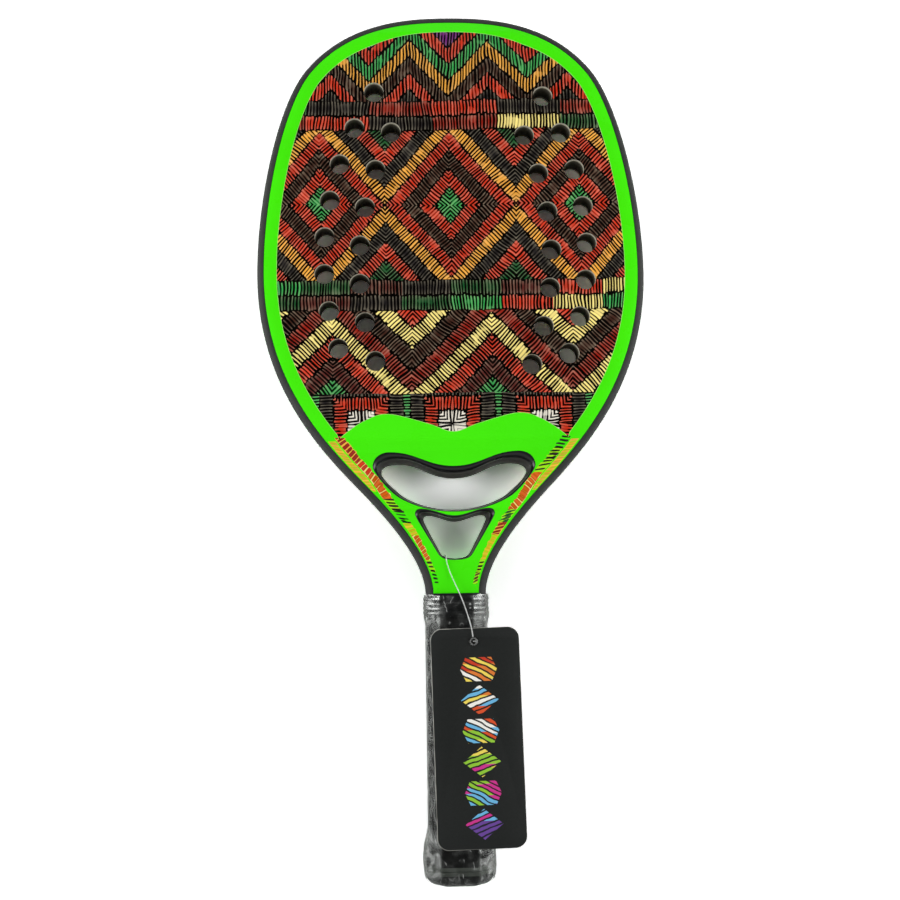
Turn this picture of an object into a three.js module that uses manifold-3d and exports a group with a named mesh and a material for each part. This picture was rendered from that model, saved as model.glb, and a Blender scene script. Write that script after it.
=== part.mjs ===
// A beach tennis racket lying face up, in millimetres.
// X runs across the head, Y from the butt of the handle to the top of the head, Z up out of the front face.
// Every piece is drawn with Y measured from the butt end and Z from the middle of the face. The group that
// holds them is then moved so that the origin lies under the middle of the racket's outer box.
import * as THREE from "three";
import { mergeVertices } from "three/addons/utils/BufferGeometryUtils.js";
import Module from "manifold-3d";

const wasm = await Module();
wasm.setup();

// Overall sizes
const LENGTH = 500;
const HEAD_WIDTH = 225;
const FACE_THICKNESS = 21;
const HANDLE_LENGTH = 162.5;
const NECK_WIDTH = 34.6;
const BOND_GAP = 0.3;
const CUT_OVERRUN = 1;

// Hoop: one hollow tube round the head and down both yoke arms, with two straight legs in the handle
const EDGE_ROUND = 4.3;
const HOOP_WIDTH = 12;
const YOKE_ARM_WIDTH = 22;
const HOOP_WALL = 1.6;
const LEG_WIDTH = 9.1;
const LEG_HEIGHT = 15;
const LEG_SPACING = 3;
const LEG_LAP = 6;
const LEG_CORNER = 3.2;

// Face sheets and foam core, drilled together in two bowed rows on each side
const SHEET_THICKNESS = 1;
const HOLE_DIAMETER = 11.5;
const ROW_BOW_RADIUS = 167;
const DRILL_SIDE_SHIFT = 2.4;

// Throat: two openings with a thin web between them
const THROAT_HEIGHT = 80.8;
const BRIDGE_HALF_SPAN = 63;
const UPPER_OPENING_HALF_WIDTH = 46.4;
const LOWER_OPENING_HALF_WIDTH = 22.7;

// Handle: two foam pallets round the legs, in an eight-sided section
const PALLET_WIDTH = 30.4;
const PALLET_THICKNESS = 25.8;
const FRONT_FLAT_WIDTH = 17;
const SIDE_FLAT_HEIGHT = 11;
const PALLET_CORNER = 1.2;

// Butt cap
const CAP_WALL = 1;
const CAP_FLOOR = 3;
const CAP_SKIRT_LENGTH = 26;
const CAP_LIP_LENGTH = 9;
const FLARE = 1.9;
const FLARE_LENGTH = 19;
const CAP_ROUND = 7;
const EMBLEM_RECESS_DEPTH = 0.8;
const EMBLEM_RECESS_BORDER = 5;

// Grip wrap, rubber collar and clear sleeve
const WRAP_THICKNESS = 1.7;
const WRAP_OVERLAP_STEP = 0.5;
const WRAP_PITCH = 20.8;
const WRAP_THIN_END = 0.7;
const COLLAR_LENGTH = 13;
const COLLAR_SKIRT = 5;
const COLLAR_WALL = 0.5;
const COLLAR_RIB_HEIGHT = 0.3;
const COLLAR_RIB_WIDTH = 1.2;
const SLEEVE_THICKNESS = 0.3;
const SLEEVE_END_LIP = 4;
const SLEEVE_BRIDGING = 5;

// Staples through the skirt of the cap
const STAPLE_WIDTH = 10;
const STAPLE_LEG = 1.8;
const STAPLE_WIRE = 0.7;
const STAPLE_FROM_SKIRT_END = 4;

// Hang tag on its clear loop
const TAG_WIDTH = 49;
const TAG_HEIGHT = 118.5;
const TAG_THICKNESS = 0.6;
const TAG_CORNER = 6.5;
const TAG_HOLE_DIAMETER = 5;
const TAG_HOLE_FROM_TOP = 7.5;
const TAG_HOLE_SIDE_OFFSET = 1.6;
const TAG_HOLE_X = 9.1;
const TAG_HOLE_Y = 136.1;
const LOOP_DIAMETER = 0.8;
const LOCK_RADIUS = 2.2;
const LOCK_HEIGHT = 2.6;

// Angles in degrees, counts and steps
const DRILL_TURN = -1.77;
const TAG_TURN = 1.3;
const OUTER_ROW_HOLES = 8;
const INNER_ROW_HOLES = 7;
const HOLE_SIDES = 10;
const EDGE_SQUARENESS = 2.7;
const COLLAR_RIBS = 4;
const LOOP_SIDES = 8;
const LOOP_STEPS = 76;
const LOCK_SIDES = 12;

// Where the head is widest, as a share of its length down from its top
const WIDEST_SHARE = 0.45126;

// Places that several pieces share
const halfThickness = FACE_THICKNESS / 2;
const seatHeight = halfThickness - SHEET_THICKNESS - BOND_GAP;
const headHalf = HEAD_WIDTH / 2;
const crownRise = (LENGTH - HANDLE_LENGTH) * WIDEST_SHARE;
const widestY = LENGTH - crownRise;
const yokeRise = widestY - HANDLE_LENGTH;
const legHalfHeight = LEG_HEIGHT / 2;
const legTopY = HANDLE_LENGTH + LEG_LAP;
const palletHalfWidth = PALLET_WIDTH / 2;
const palletHalfThickness = PALLET_THICKNESS / 2;
const sleeveAllowance = BOND_GAP + SLEEVE_THICKNESS;
const wrapOuter = BOND_GAP + WRAP_THICKNESS;
const collarBase = BOND_GAP + WRAP_THIN_END + BOND_GAP + COLLAR_WALL;
const collarOuter = collarBase + COLLAR_RIB_HEIGHT;
const gripOuter = Math.max(wrapOuter, collarOuter);
const capLip = FLARE + wrapOuter;
const capLowY = sleeveAllowance;
const capFloorY = capLowY + CAP_FLOOR;
const lipEndY = capLowY + CAP_LIP_LENGTH;
const flareEndY = capLowY + FLARE_LENGTH;
const skirtEndY = capLowY + CAP_SKIRT_LENGTH;
const handleHighY = HANDLE_LENGTH - BOND_GAP;
const collarLowY = handleHighY - COLLAR_LENGTH;
const wrapHighY = collarLowY + COLLAR_SKIRT;
const buttHalfThickness = palletHalfThickness + capLip + sleeveAllowance;
const tagTop = buttHalfThickness + BOND_GAP + TAG_THICKNESS;

const vec = (x, y) => new THREE.Vector2(x, y);
const vec3 = (x, y, z) => new THREE.Vector3(x, y, z);
const mirrored = (p) => vec(-p.x, p.y);
const { lerp, smoothstep, degToRad } = THREE.MathUtils;

// Solids: a closed geometry becomes a solid that can be cut, and a cut solid becomes a geometry again
function solid(geometry) {
  const bare = geometry.clone();
  bare.deleteAttribute("normal");
  bare.deleteAttribute("uv");
  const merged = mergeVertices(bare);
  const vertProperties = new Float32Array(merged.attributes.position.array);
  const triVerts = new Uint32Array(merged.index.array);
  return new wasm.Manifold(new wasm.Mesh({ numProp: 3, vertProperties, triVerts }));
}

function geometryOf(cutSolid) {
  const mesh = cutSolid.getMesh();
  const geometry = new THREE.BufferGeometry();
  geometry.setAttribute("position", new THREE.Float32BufferAttribute(mesh.vertProperties, 3));
  geometry.setIndex(new THREE.Uint32BufferAttribute(mesh.triVerts, 1));
  geometry.computeVertexNormals();
  return geometry;
}

// A flat outline in X and Y raised between two heights
function plate(points, low, high) {
  const shape = new THREE.Shape(points);
  const geometry = new THREE.ExtrudeGeometry(shape, { depth: high - low, bevelEnabled: false });
  return solid(geometry.translate(0, 0, low));
}

// A block between two corners
function block(low, high) {
  const size = high.clone().sub(low);
  const middle = low.clone().add(high).divideScalar(2);
  return new THREE.BoxGeometry(size.x, size.y, size.z).translate(middle.x, middle.y, middle.z);
}

// The triangles that close a flat ring, turning the same way as the ring does
function capTriangles(ring) {
  const normal = vec3(0, 0, 0);
  ring.forEach((p, k) => normal.add(p.clone().cross(ring[(k + 1) % ring.length])));
  const across = ring[1].clone().sub(ring[0]).normalize();
  const up = normal.clone().normalize().cross(across);
  const flat = ring.map((p) => vec(p.dot(across), p.dot(up)));
  return THREE.ShapeUtils.triangulateShape(flat, []).map(([a, b, c]) => {
    const turn = flat[b].clone().sub(flat[a]).cross(flat[c].clone().sub(flat[a]));
    return turn > 0 ? [a, b, c] : [a, c, b];
  });
}

// An indexed geometry whose faces are all turned outwards
function closedGeometry(points, index) {
  let volume = 0;
  for (let i = 0; i < index.length; i += 3) {
    const [a, b, c] = [0, 1, 2].map((k) => points[index[i + k]]);
    volume += a.dot(b.clone().cross(c));
  }
  const turned = volume < 0 ? index.slice().reverse() : index;
  const geometry = new THREE.BufferGeometry().setFromPoints(points);
  return geometry.setIndex(turned);
}

// Rings of equal length joined into a tube and closed with a flat cap at each end
function loft(rings) {
  const sides = rings[0].length;
  const index = [];
  for (let r = 0; r + 1 < rings.length; r += 1) {
    for (let k = 0; k < sides; k += 1) {
      const a = r * sides + k;
      const b = r * sides + ((k + 1) % sides);
      index.push(a, b, b + sides, a, b + sides, a + sides);
    }
  }
  const last = (rings.length - 1) * sides;
  capTriangles(rings[0]).forEach(([a, b, c]) => index.push(a, c, b));
  capTriangles(rings.at(-1)).forEach(([a, b, c]) => index.push(last + a, last + b, last + c));
  return closedGeometry(rings.flat(), index);
}

// A smooth outline through nodes. Each node has a place, the direction in which the outline leaves it,
// and how far its curve handles reach before and after it.
function curvesThrough(nodes) {
  return nodes.slice(1).map((to, k) => {
    const from = nodes[k];
    const leave = from.at.clone().addScaledVector(from.direction, from.after);
    const arrive = to.at.clone().addScaledVector(to.direction, -to.before);
    return new THREE.CubicBezierCurve(from.at, leave, arrive, to.at);
  });
}

// Silhouette of the racket, as one half from the top of the head to the shoulder of the neck.
// Places across are shares of half the head's width. Places and handles along Y are shares of the head
// above its widest line, of the yoke between that line and the neck, or of the height of the throat.
const SHOULDER_SHARES = { across: 0.726, up: 0.814, before: 0.268, after: 0.148 };
const WAIST_SHARES = { across: 0.531, up: 0.8095, before: 0.4, after: 0.188 };
const TOP_SHARE = 0.354;
const ABOVE_WIDEST_SHARE = 0.382;
const BELOW_WIDEST_SHARE = 0.322;
const NECK_SHARE = 0.282;
const OUTLINE_STEPS = [7, 9, 10, 8];
const silhouetteNodes = [
  { at: vec(0, LENGTH), direction: vec(1, 0), after: headHalf * TOP_SHARE },
  {
    at: vec(headHalf * SHOULDER_SHARES.across, widestY + crownRise * SHOULDER_SHARES.up),
    direction: vec(0.711, -0.703),
    before: headHalf * SHOULDER_SHARES.before,
    after: headHalf * SHOULDER_SHARES.after,
  },
  {
    at: vec(headHalf, widestY),
    direction: vec(0, -1),
    before: crownRise * ABOVE_WIDEST_SHARE,
    after: yokeRise * BELOW_WIDEST_SHARE,
  },
  {
    at: vec(headHalf * WAIST_SHARES.across, HANDLE_LENGTH + THROAT_HEIGHT * WAIST_SHARES.up),
    direction: vec(-0.682, -0.731),
    before: THROAT_HEIGHT * WAIST_SHARES.before,
    after: THROAT_HEIGHT * WAIST_SHARES.after,
  },
  { at: vec(NECK_WIDTH / 2, HANDLE_LENGTH), direction: vec(0, -1), before: THROAT_HEIGHT * NECK_SHARE },
];

// Stations along the silhouette: a point and the direction that points into the racket
const halfStations = curvesThrough(silhouetteNodes).flatMap((curve, k) => {
  const steps = OUTLINE_STEPS[k];
  const found = [];
  for (let i = k === 0 ? 0 : 1; i <= steps; i += 1) {
    const tangent = curve.getTangent(i / steps);
    found.push({ at: curve.getPoint(i / steps), inward: vec(tangent.y, -tangent.x) });
  }
  return found;
});
const otherHalf = halfStations.slice(1).map((s) => ({ at: mirrored(s.at), inward: mirrored(s.inward) }));
const stations = [...otherHalf.reverse(), ...halfStations];
const insetPoint = (station, inset) => station.at.clone().addScaledVector(station.inward, inset);

// How far the inner wall of the hoop lies from the silhouette: narrow round the head, wide in the
// yoke arms, where the openings are cut out of it, and narrow again at the neck
function hoopDepth(station) {
  const y = station.at.y;
  const throatTop = HANDLE_LENGTH + THROAT_HEIGHT;
  const fromNeck = smoothstep(y, HANDLE_LENGTH, HANDLE_LENGTH + THROAT_HEIGHT / 2);
  const toHead = smoothstep(y, throatTop + HOOP_WIDTH, throatTop + HOOP_WIDTH + YOKE_ARM_WIDTH);
  return lerp(lerp(HOOP_WIDTH, YOKE_ARM_WIDTH, fromNeck), HOOP_WIDTH, toHead);
}

// Section of the hoop, as insets from the silhouette and heights: a crowned outer side between the two
// flats of the face, and a ledge on each face for the sheet
const CROWN_ANGLES = [90, 62, 38, 17, 0, -17, -38, -62, -90];
function hoopSection(depth) {
  const power = 2 / EDGE_SQUARENESS;
  const crown = CROWN_ANGLES.map((angle) => {
    const out = Math.abs(Math.cos(degToRad(angle))) ** power;
    const up = Math.sign(angle) * Math.abs(Math.sin(degToRad(angle))) ** power;
    return [EDGE_ROUND * (1 - out), halfThickness * up];
  });
  const lowLedge = [[EDGE_ROUND, -seatHeight], [depth, -seatHeight]];
  const highLedge = [[depth, seatHeight], [EDGE_ROUND, seatHeight]];
  return [...crown, ...lowLedge, ...highLedge];
}

// Section of the hollow inside the hoop
const HOLLOW_SIDE_SHARE = 0.62;
const HOLLOW_CROWN_SHARE = 1.4;
function hollowSection() {
  const top = seatHeight - HOOP_WALL;
  const inner = HOOP_WIDTH - HOOP_WALL;
  const outer = HOOP_WALL * HOLLOW_CROWN_SHARE;
  const side = top * HOLLOW_SIDE_SHARE;
  return [[outer, side], [outer, -side], [EDGE_ROUND, -top], [inner, -top], [inner, top], [EDGE_ROUND, top]];
}

// A section carried along the whole silhouette
function sweptAlongSilhouette(sectionAt) {
  const rings = stations.map((station) =>
    sectionAt(station).map(([inset, height]) => {
      const p = insetPoint(station, inset);
      return vec3(p.x, p.y, height);
    }),
  );
  return solid(loft(rings));
}

// A rectangle with round corners, centred on a point
function roundedRectangle(centre, width, height, corner) {
  const [x, y] = [width / 2 - corner, height / 2 - corner];
  const shape = new THREE.Shape();
  shape.absarc(centre.x + x, centre.y + y, corner, 0, Math.PI / 2);
  shape.absarc(centre.x - x, centre.y + y, corner, Math.PI / 2, Math.PI);
  shape.absarc(centre.x - x, centre.y - y, corner, Math.PI, Math.PI * 1.5);
  shape.absarc(centre.x + x, centre.y - y, corner, Math.PI * 1.5, Math.PI * 2);
  return shape;
}

// A straight leg of the hoop inside the handle, shrunk by a wall for its hollow or grown for its channel
function legBar(side, shrink, low, high) {
  const [width, height] = [LEG_WIDTH - shrink * 2, LEG_HEIGHT - shrink * 2];
  const centre = vec((side * (LEG_SPACING + LEG_WIDTH)) / 2, 0);
  const profile = roundedRectangle(centre, width, height, LEG_CORNER - shrink);
  const length = { depth: high - low, bevelEnabled: false, curveSegments: 3 };
  return solid(new THREE.ExtrudeGeometry(profile, length).rotateX(Math.PI / 2).translate(0, high, 0));
}

// Throat openings: half outlines at the face, and at the waist of the wall half way through the racket.
// Places and handles across are shares of the opening's half width, and places along Y are shares of
// the height of the throat above the neck.
const UPPER_FACE_SHARES = [
  { x: 0, y: 0.899, direction: [1, 0], before: 0, after: 0.34 },
  { x: 0.795, y: 1.001, direction: [1, 0], before: 0.34, after: 0.12 },
  { x: 1, y: 0.9, direction: [0, -1], before: 0.1, after: 0.07 },
  { x: 0.66, y: 0.672, direction: [-0.88, -0.47], before: 0.14, after: 0.1 },
  { x: 0, y: 0.577, direction: [-1, 0], before: 0.35, after: 0 },
];
const UPPER_WAIST_SHARES = [
  { x: 0, y: 0.817, direction: [1, 0], before: 0, after: 0.32 },
  { x: 0.7, y: 0.92, direction: [1, 0], before: 0.3, after: 0.1 },
  { x: 0.899, y: 0.8626, direction: [0, -1], before: 0.07, after: 0.06 },
  { x: 0.651, y: 0.7018, direction: [-0.77, -0.64], before: 0.168, after: 0.08 },
  { x: 0, y: 0.5953, direction: [-1, 0], before: 0.33, after: 0 },
];
const LOWER_FACE_SHARES = [
  { x: 0, y: 0.55, direction: [1, 0], before: 0, after: 0.3 },
  { x: 0.84, y: 0.6, direction: [1, 0], before: 0.3, after: 0.1 },
  { x: 1, y: 0.563, direction: [0, -1], before: 0.09, after: 0.08 },
  { x: 0.45, y: 0.29, direction: [-0.49, -0.87], before: 0.35, after: 0.13 },
  { x: 0, y: 0.238, direction: [-1, 0], before: 0.3, after: 0 },
];
const LOWER_WAIST_SHARES = [
  { x: 0, y: 0.5087, direction: [1, 0], before: 0, after: 0.26 },
  { x: 0.68, y: 0.5514, direction: [1, 0], before: 0.26, after: 0.06 },
  { x: 0.786, y: 0.527, direction: [0, -1], before: 0.06, after: 0.07 },
  { x: 0.388, y: 0.2983, direction: [-0.45, -0.89], before: 0.32, after: 0.11 },
  { x: 0, y: 0.2488, direction: [-1, 0], before: 0.26, after: 0 },
];
const OPENING_STEPS = [5, 4, 3, 4];
// Heights of the rings of the wall as shares of the seat height
const WALL_RING_SHARES = [1, 0.85, 0.5, 0, -0.5, -0.85, -1];

function openingOutline(shares, halfWidth) {
  const nodes = shares.map((row) => ({
    at: vec(halfWidth * row.x, HANDLE_LENGTH + THROAT_HEIGHT * row.y),
    direction: vec(...row.direction).normalize(),
    before: halfWidth * row.before,
    after: halfWidth * row.after,
  }));
  const right = curvesThrough(nodes).flatMap((curve, k) => curve.getPoints(OPENING_STEPS[k]).slice(1));
  const left = right.slice(0, -1).reverse().map(mirrored);
  return [nodes[0].at, ...right, ...left];
}

// The body that cuts an opening whose walls swell inwards between the two faces
function openingCutter(faceOutline, waistOutline) {
  const ringAt = (height, swell) =>
    faceOutline.map((p, k) => {
      const q = p.clone().lerp(waistOutline[k], swell);
      return vec3(q.x, q.y, height);
    });
  const wall = WALL_RING_SHARES.map((share) => ringAt(seatHeight * share, Math.sqrt(1 - share * share)));
  const past = halfThickness + CUT_OVERRUN;
  return solid(loft([ringAt(past, 0), ...wall, ringAt(-past, 0)]));
}

const upperFace = openingOutline(UPPER_FACE_SHARES, UPPER_OPENING_HALF_WIDTH);
const lowerFace = openingOutline(LOWER_FACE_SHARES, LOWER_OPENING_HALF_WIDTH);
const upperCutter = openingCutter(upperFace, openingOutline(UPPER_WAIST_SHARES, UPPER_OPENING_HALF_WIDTH));
const lowerCutter = openingCutter(lowerFace, openingOutline(LOWER_WAIST_SHARES, LOWER_OPENING_HALF_WIDTH));

// A slice right across the racket between two places along Y
function band(low, high) {
  return solid(block(vec3(-headHalf, low, -FACE_THICKNESS), vec3(headHalf, high, FACE_THICKNESS)));
}

function frameHoop() {
  const legLowY = capFloorY + BOND_GAP;
  const arms = sweptAlongSilhouette((station) => hoopSection(hoopDepth(station)));
  const roundHollow = sweptAlongSilhouette(hollowSection).subtract(band(0, HANDLE_LENGTH + HOOP_WALL));
  let hoop = arms;
  let hollow = roundHollow;
  for (const side of [-1, 1]) {
    hoop = hoop.add(legBar(side, 0, legLowY, legTopY));
    hollow = hollow.add(legBar(side, HOOP_WALL, legLowY - CUT_OVERRUN, legTopY - HOOP_WALL));
  }
  return geometryOf(hoop.subtract(hollow).subtract(upperCutter).subtract(lowerCutter));
}

// The flat space inside the hoop, which the core, the two bridges and the neck filler share
const spaceOutline = stations.map((station) => insetPoint(station, hoopDepth(station) + BOND_GAP));
const spaceInHoop = plate(spaceOutline, -seatHeight, seatHeight);

// The seam between the foam core and the upper bridge, a bow with two lobes. Places across are shares
// of the bridge's half span, and places along Y are shares of the height of the throat.
const BOW_SHARES = [[0, 1.142], [0.23, 1.2], [0.587, 1.271], [0.8, 1.228], [1, 1.124], [1.15, 1]];
const BOW_STEPS = 30;
function bow(lift) {
  const lifted = ([x, y]) => vec(BRIDGE_HALF_SPAN * x, HANDLE_LENGTH + THROAT_HEIGHT * y + lift);
  const right = BOW_SHARES.map(lifted);
  const left = right.slice(1).reverse().map(mirrored);
  return new THREE.SplineCurve([...left, ...right]).getPoints(BOW_STEPS);
}

function foamCore() {
  const seam = bow(BOND_GAP / 2);
  const side = headHalf + CUT_OVERRUN;
  const top = LENGTH + CUT_OVERRUN;
  const above = [...seam, vec(side, seam.at(-1).y), vec(side, top), vec(-side, top), vec(-side, seam[0].y)];
  return geometryOf(drilled(spaceInHoop.intersect(plate(above, -halfThickness, halfThickness))));
}

// Drilling: two bowed rows on each side, the whole pattern turned a little on the head. A row's place
// across is a share of half the head's width, its top hole and its widest place are shares of the head
// above the widest line, and its low hole is a share of the yoke below that line.
const OUTER_ROW_SHARES = { across: 0.6756, top: 0.6888, widest: 0.0676, low: 0.25 };
const INNER_ROW_SHARES = { across: 0.4942, top: 0.5338, widest: 0.0414, low: 0.2867 };
function rowOfHoles(shares, count) {
  const pivot = vec(0, widestY);
  const [top, low] = [crownRise * shares.top, -yokeRise * shares.low];
  const centres = [];
  for (let k = 0; k < count; k += 1) {
    const rise = lerp(top, low, k / (count - 1));
    const bend = (rise - crownRise * shares.widest) ** 2 / (2 * ROW_BOW_RADIUS);
    for (const side of [-1, 1]) {
      const straight = vec(side * (headHalf * shares.across - bend), widestY + rise);
      centres.push(straight.rotateAround(pivot, degToRad(DRILL_TURN)).add(vec(DRILL_SIDE_SHIFT, 0)));
    }
  }
  return centres;
}

function circleRound(centre) {
  const rim = new THREE.Path().absarc(centre.x, centre.y, HOLE_DIAMETER / 2, 0, Math.PI * 2);
  return rim.getPoints(HOLE_SIDES / 2).slice(1);
}

function drilled(blank) {
  const outerRow = rowOfHoles(OUTER_ROW_SHARES, OUTER_ROW_HOLES);
  const innerRow = rowOfHoles(INNER_ROW_SHARES, INNER_ROW_HOLES);
  const drills = [...outerRow, ...innerRow].map((centre) => plate(circleRound(centre), -FACE_THICKNESS, FACE_THICKNESS));
  return drills.reduce((rest, drill) => rest.subtract(drill), blank);
}

// A face sheet: the whole flat face from the top of the head to the shoulder of the neck
function faceSheet() {
  const footY = HANDLE_LENGTH + BOND_GAP;
  const rim = stations.map((station) => insetPoint(station, EDGE_ROUND + BOND_GAP));
  const blank = plate(rim.map((p) => vec(p.x, Math.max(p.y, footY))), 0, SHEET_THICKNESS);
  const upperHole = plate(upperFace, -FACE_THICKNESS, FACE_THICKNESS);
  const lowerHole = plate(lowerFace, -FACE_THICKNESS, FACE_THICKNESS);
  return geometryOf(drilled(blank).subtract(upperHole).subtract(lowerHole));
}

// Limits of the throat pieces along Y, as shares of the height of the throat
const UPPER_BRIDGE_LOW_SHARE = 0.8;
const WEB_LOW_SHARE = 0.45;
const WEB_HIGH_SHARE = 0.75;
const FILLER_HIGH_SHARE = 0.33;

function upperBridge() {
  const low = HANDLE_LENGTH + THROAT_HEIGHT * UPPER_BRIDGE_LOW_SHARE;
  const seam = bow(-BOND_GAP / 2);
  const below = [...seam, vec(seam.at(-1).x, low), vec(seam[0].x, low)];
  const blank = spaceInHoop.intersect(plate(below, -halfThickness, halfThickness));
  return geometryOf(blank.subtract(upperCutter));
}

function lowerBridge() {
  const low = HANDLE_LENGTH + THROAT_HEIGHT * WEB_LOW_SHARE;
  const high = HANDLE_LENGTH + THROAT_HEIGHT * WEB_HIGH_SHARE;
  return geometryOf(spaceInHoop.intersect(band(low, high)).subtract(upperCutter).subtract(lowerCutter));
}

// The foam that fills the fork under the lower opening and the slot between the two legs
function neckFiller() {
  const wedgeLow = legTopY + BOND_GAP;
  const half = LEG_SPACING / 2 - BOND_GAP;
  const stripLow = vec3(-half, capFloorY + BOND_GAP, -legHalfHeight);
  const stripHigh = vec3(half, wedgeLow + CUT_OVERRUN, legHalfHeight);
  const wedge = spaceInHoop.intersect(band(wedgeLow, HANDLE_LENGTH + THROAT_HEIGHT * FILLER_HIGH_SHARE));
  return geometryOf(wedge.add(solid(block(stripLow, stripHigh))).subtract(lowerCutter));
}

// The eight-sided section of the handle, grown outwards by a margin, with each corner cut off short:
// 16 points, going round from the right side through the front
function handleSection(margin) {
  const [flatX, flatZ] = [FRONT_FLAT_WIDTH / 2, SIDE_FLAT_HEIGHT / 2];
  const bevel = Math.atan2(palletHalfThickness - flatZ, palletHalfWidth - flatX);
  const cornerX = flatX + margin * Math.tan(bevel / 2);
  const cornerZ = flatZ + margin * Math.tan((Math.PI / 2 - bevel) / 2);
  const quarter = [vec(palletHalfWidth + margin, cornerZ), vec(cornerX, palletHalfThickness + margin)];
  const upper = [...quarter, ...quarter.map(mirrored).reverse()];
  const corners = [...upper, ...upper.map((p) => vec(-p.x, -p.y))];
  return corners.flatMap((corner, k) => {
    const before = corners.at(k - 1).clone().sub(corner).setLength(PALLET_CORNER);
    const after = corners[(k + 1) % corners.length].clone().sub(corner).setLength(PALLET_CORNER);
    return [corner.clone().add(before), corner.clone().add(after)];
  });
}

// A body of the handle's section, from rows of a place along Y and a margin there
function handleBody(rows) {
  return solid(loft(rows.map(([y, margin]) => handleSection(margin).map((p) => vec3(p.x, y, p.y)))));
}

// One of the two foam pallets, drawn as the front one
function pallet() {
  const capSeat = -CAP_WALL - BOND_GAP;
  const outside = handleBody([
    [capFloorY + BOND_GAP, capSeat],
    [skirtEndY + BOND_GAP, capSeat],
    [skirtEndY + BOND_GAP + CAP_WALL, 0],
    [handleHighY, 0],
  ]);
  const front = block(vec3(-PALLET_WIDTH, 0, BOND_GAP / 2), vec3(PALLET_WIDTH, LENGTH, PALLET_THICKNESS));
  const slotHalf = vec((LEG_SPACING + LEG_WIDTH) / 2, legHalfHeight + BOND_GAP);
  const slot = block(vec3(-slotHalf.x, 0, -slotHalf.y), vec3(slotHalf.x, HANDLE_LENGTH, slotHalf.y));
  const legs = [-1, 1].map((side) => legBar(side, -BOND_GAP, 0, HANDLE_LENGTH));
  const channel = solid(slot).add(legs[0]).add(legs[1]);
  return geometryOf(outside.intersect(solid(front)).subtract(channel).subtract(solid(staple(BOND_GAP))));
}

// The front one of two wire staples, grown by a margin where it cuts its own slot
function staple(margin) {
  const under = palletHalfThickness - CAP_WALL;
  const crownHigh = under + STAPLE_WIRE + (margin > 0 ? CUT_OVERRUN : 0);
  const y = skirtEndY - STAPLE_FROM_SKIRT_END;
  const halfWire = STAPLE_WIRE / 2 + margin;
  const half = STAPLE_WIDTH / 2 + margin;
  const inner = STAPLE_WIDTH / 2 - STAPLE_WIRE - margin;
  const bar = (x0, x1, z0, z1) => solid(block(vec3(x0, y - halfWire, z0), vec3(x1, y + halfWire, z1)));
  const legLow = under - STAPLE_LEG - margin;
  const crown = bar(-half, half, under - margin, crownHigh);
  const rightLeg = bar(inner, half, legLow, under + margin);
  const leftLeg = bar(-half, -inner, legLow, under + margin);
  return geometryOf(crown.add(rightLeg).add(leftLeg));
}

// The same body half a turn round the handle, for what is alike on the front and the back
const turnedToBack = (geometry) => geometry.clone().rotateY(Math.PI);

// The round end of the butt, seen from a distance outside the cap: rows from the end face to the side
const END_ANGLES = [90, 66, 42, 20, 0];
function buttEndRows(distance) {
  return END_ANGLES.map((angle) => {
    const reach = CAP_ROUND + distance;
    const rise = reach * (1 - Math.sin(degToRad(angle)));
    const draw = reach * (1 - Math.cos(degToRad(angle)));
    return [capLowY - distance + rise, capLip + distance - draw];
  });
}

// The cap: a flared cup over the end of the pallets, with a lip that the wrap butts against
function buttCap() {
  const outside = handleBody([
    ...buttEndRows(0),
    [lipEndY, capLip],
    [lipEndY + BOND_GAP, FLARE],
    [flareEndY, FLARE],
    [skirtEndY - CAP_WALL, 0],
    [skirtEndY, 0],
  ]);
  const socket = handleBody([[capFloorY, -CAP_WALL], [skirtEndY + CUT_OVERRUN, -CAP_WALL]]);
  const recessMargin = capLip - CAP_ROUND - EMBLEM_RECESS_BORDER;
  const recess = handleBody([[0, recessMargin], [capLowY + EMBLEM_RECESS_DEPTH, recessMargin]]);
  const slot = staple(BOND_GAP);
  return geometryOf(
    outside.subtract(socket).subtract(recess).subtract(solid(slot)).subtract(solid(turnedToBack(slot))),
  );
}

// Joins profiles that wind up the handle, each the same length, into one closed skin. The last point
// of a profile meets the first point of the profile one turn later.
function woundSkin(profiles, perTurn) {
  const width = profiles[0].length;
  const last = profiles.length - 1;
  const at = (step, k) => step * width + k;
  const index = [];
  const quad = (a, b, c, d) => index.push(a, b, c, a, c, d);
  for (let step = 0; step < last; step += 1) {
    for (let k = 0; k + 1 < width; k += 1) {
      quad(at(step, k), at(step + 1, k), at(step + 1, k + 1), at(step, k + 1));
    }
    const above = step + perTurn;
    if (above < last) quad(at(step, width - 1), at(step + 1, width - 1), at(above + 1, 0), at(above, 0));
  }
  const edge = (from, k) => Array.from({ length: perTurn + 1 }, (_, i) => at(from + i, k));
  const across = Array.from({ length: width - 1 }, (_, k) => k + 1);
  const lowLoop = [...edge(0, 0), ...across.toReversed().map((k) => at(0, k))];
  const highLoop = [...edge(last - perTurn, width - 1), ...across.toReversed().map((k) => at(last, k - 1))];
  const points = profiles.flat();
  const lowEnd = points.push(vec3(0, profiles[0][0].y - WRAP_PITCH, 0)) - 1;
  const highEnd = points.push(vec3(0, profiles[last][width - 1].y + WRAP_PITCH, 0)) - 1;
  lowLoop.forEach((a, i) => index.push(lowEnd, lowLoop[(i + 1) % lowLoop.length], a));
  highLoop.forEach((a, i) => index.push(highEnd, a, highLoop[(i + 1) % highLoop.length]));
  return closedGeometry(points, index);
}

// How far the cap holds the wrap off the pallets: the flare, running out over its slope
function underWrap(y) {
  const slopeEnd = skirtEndY - CAP_WALL;
  return FLARE * THREE.MathUtils.clamp((slopeEnd - y) / (slopeEnd - flareEndY), 0, 1);
}

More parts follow.
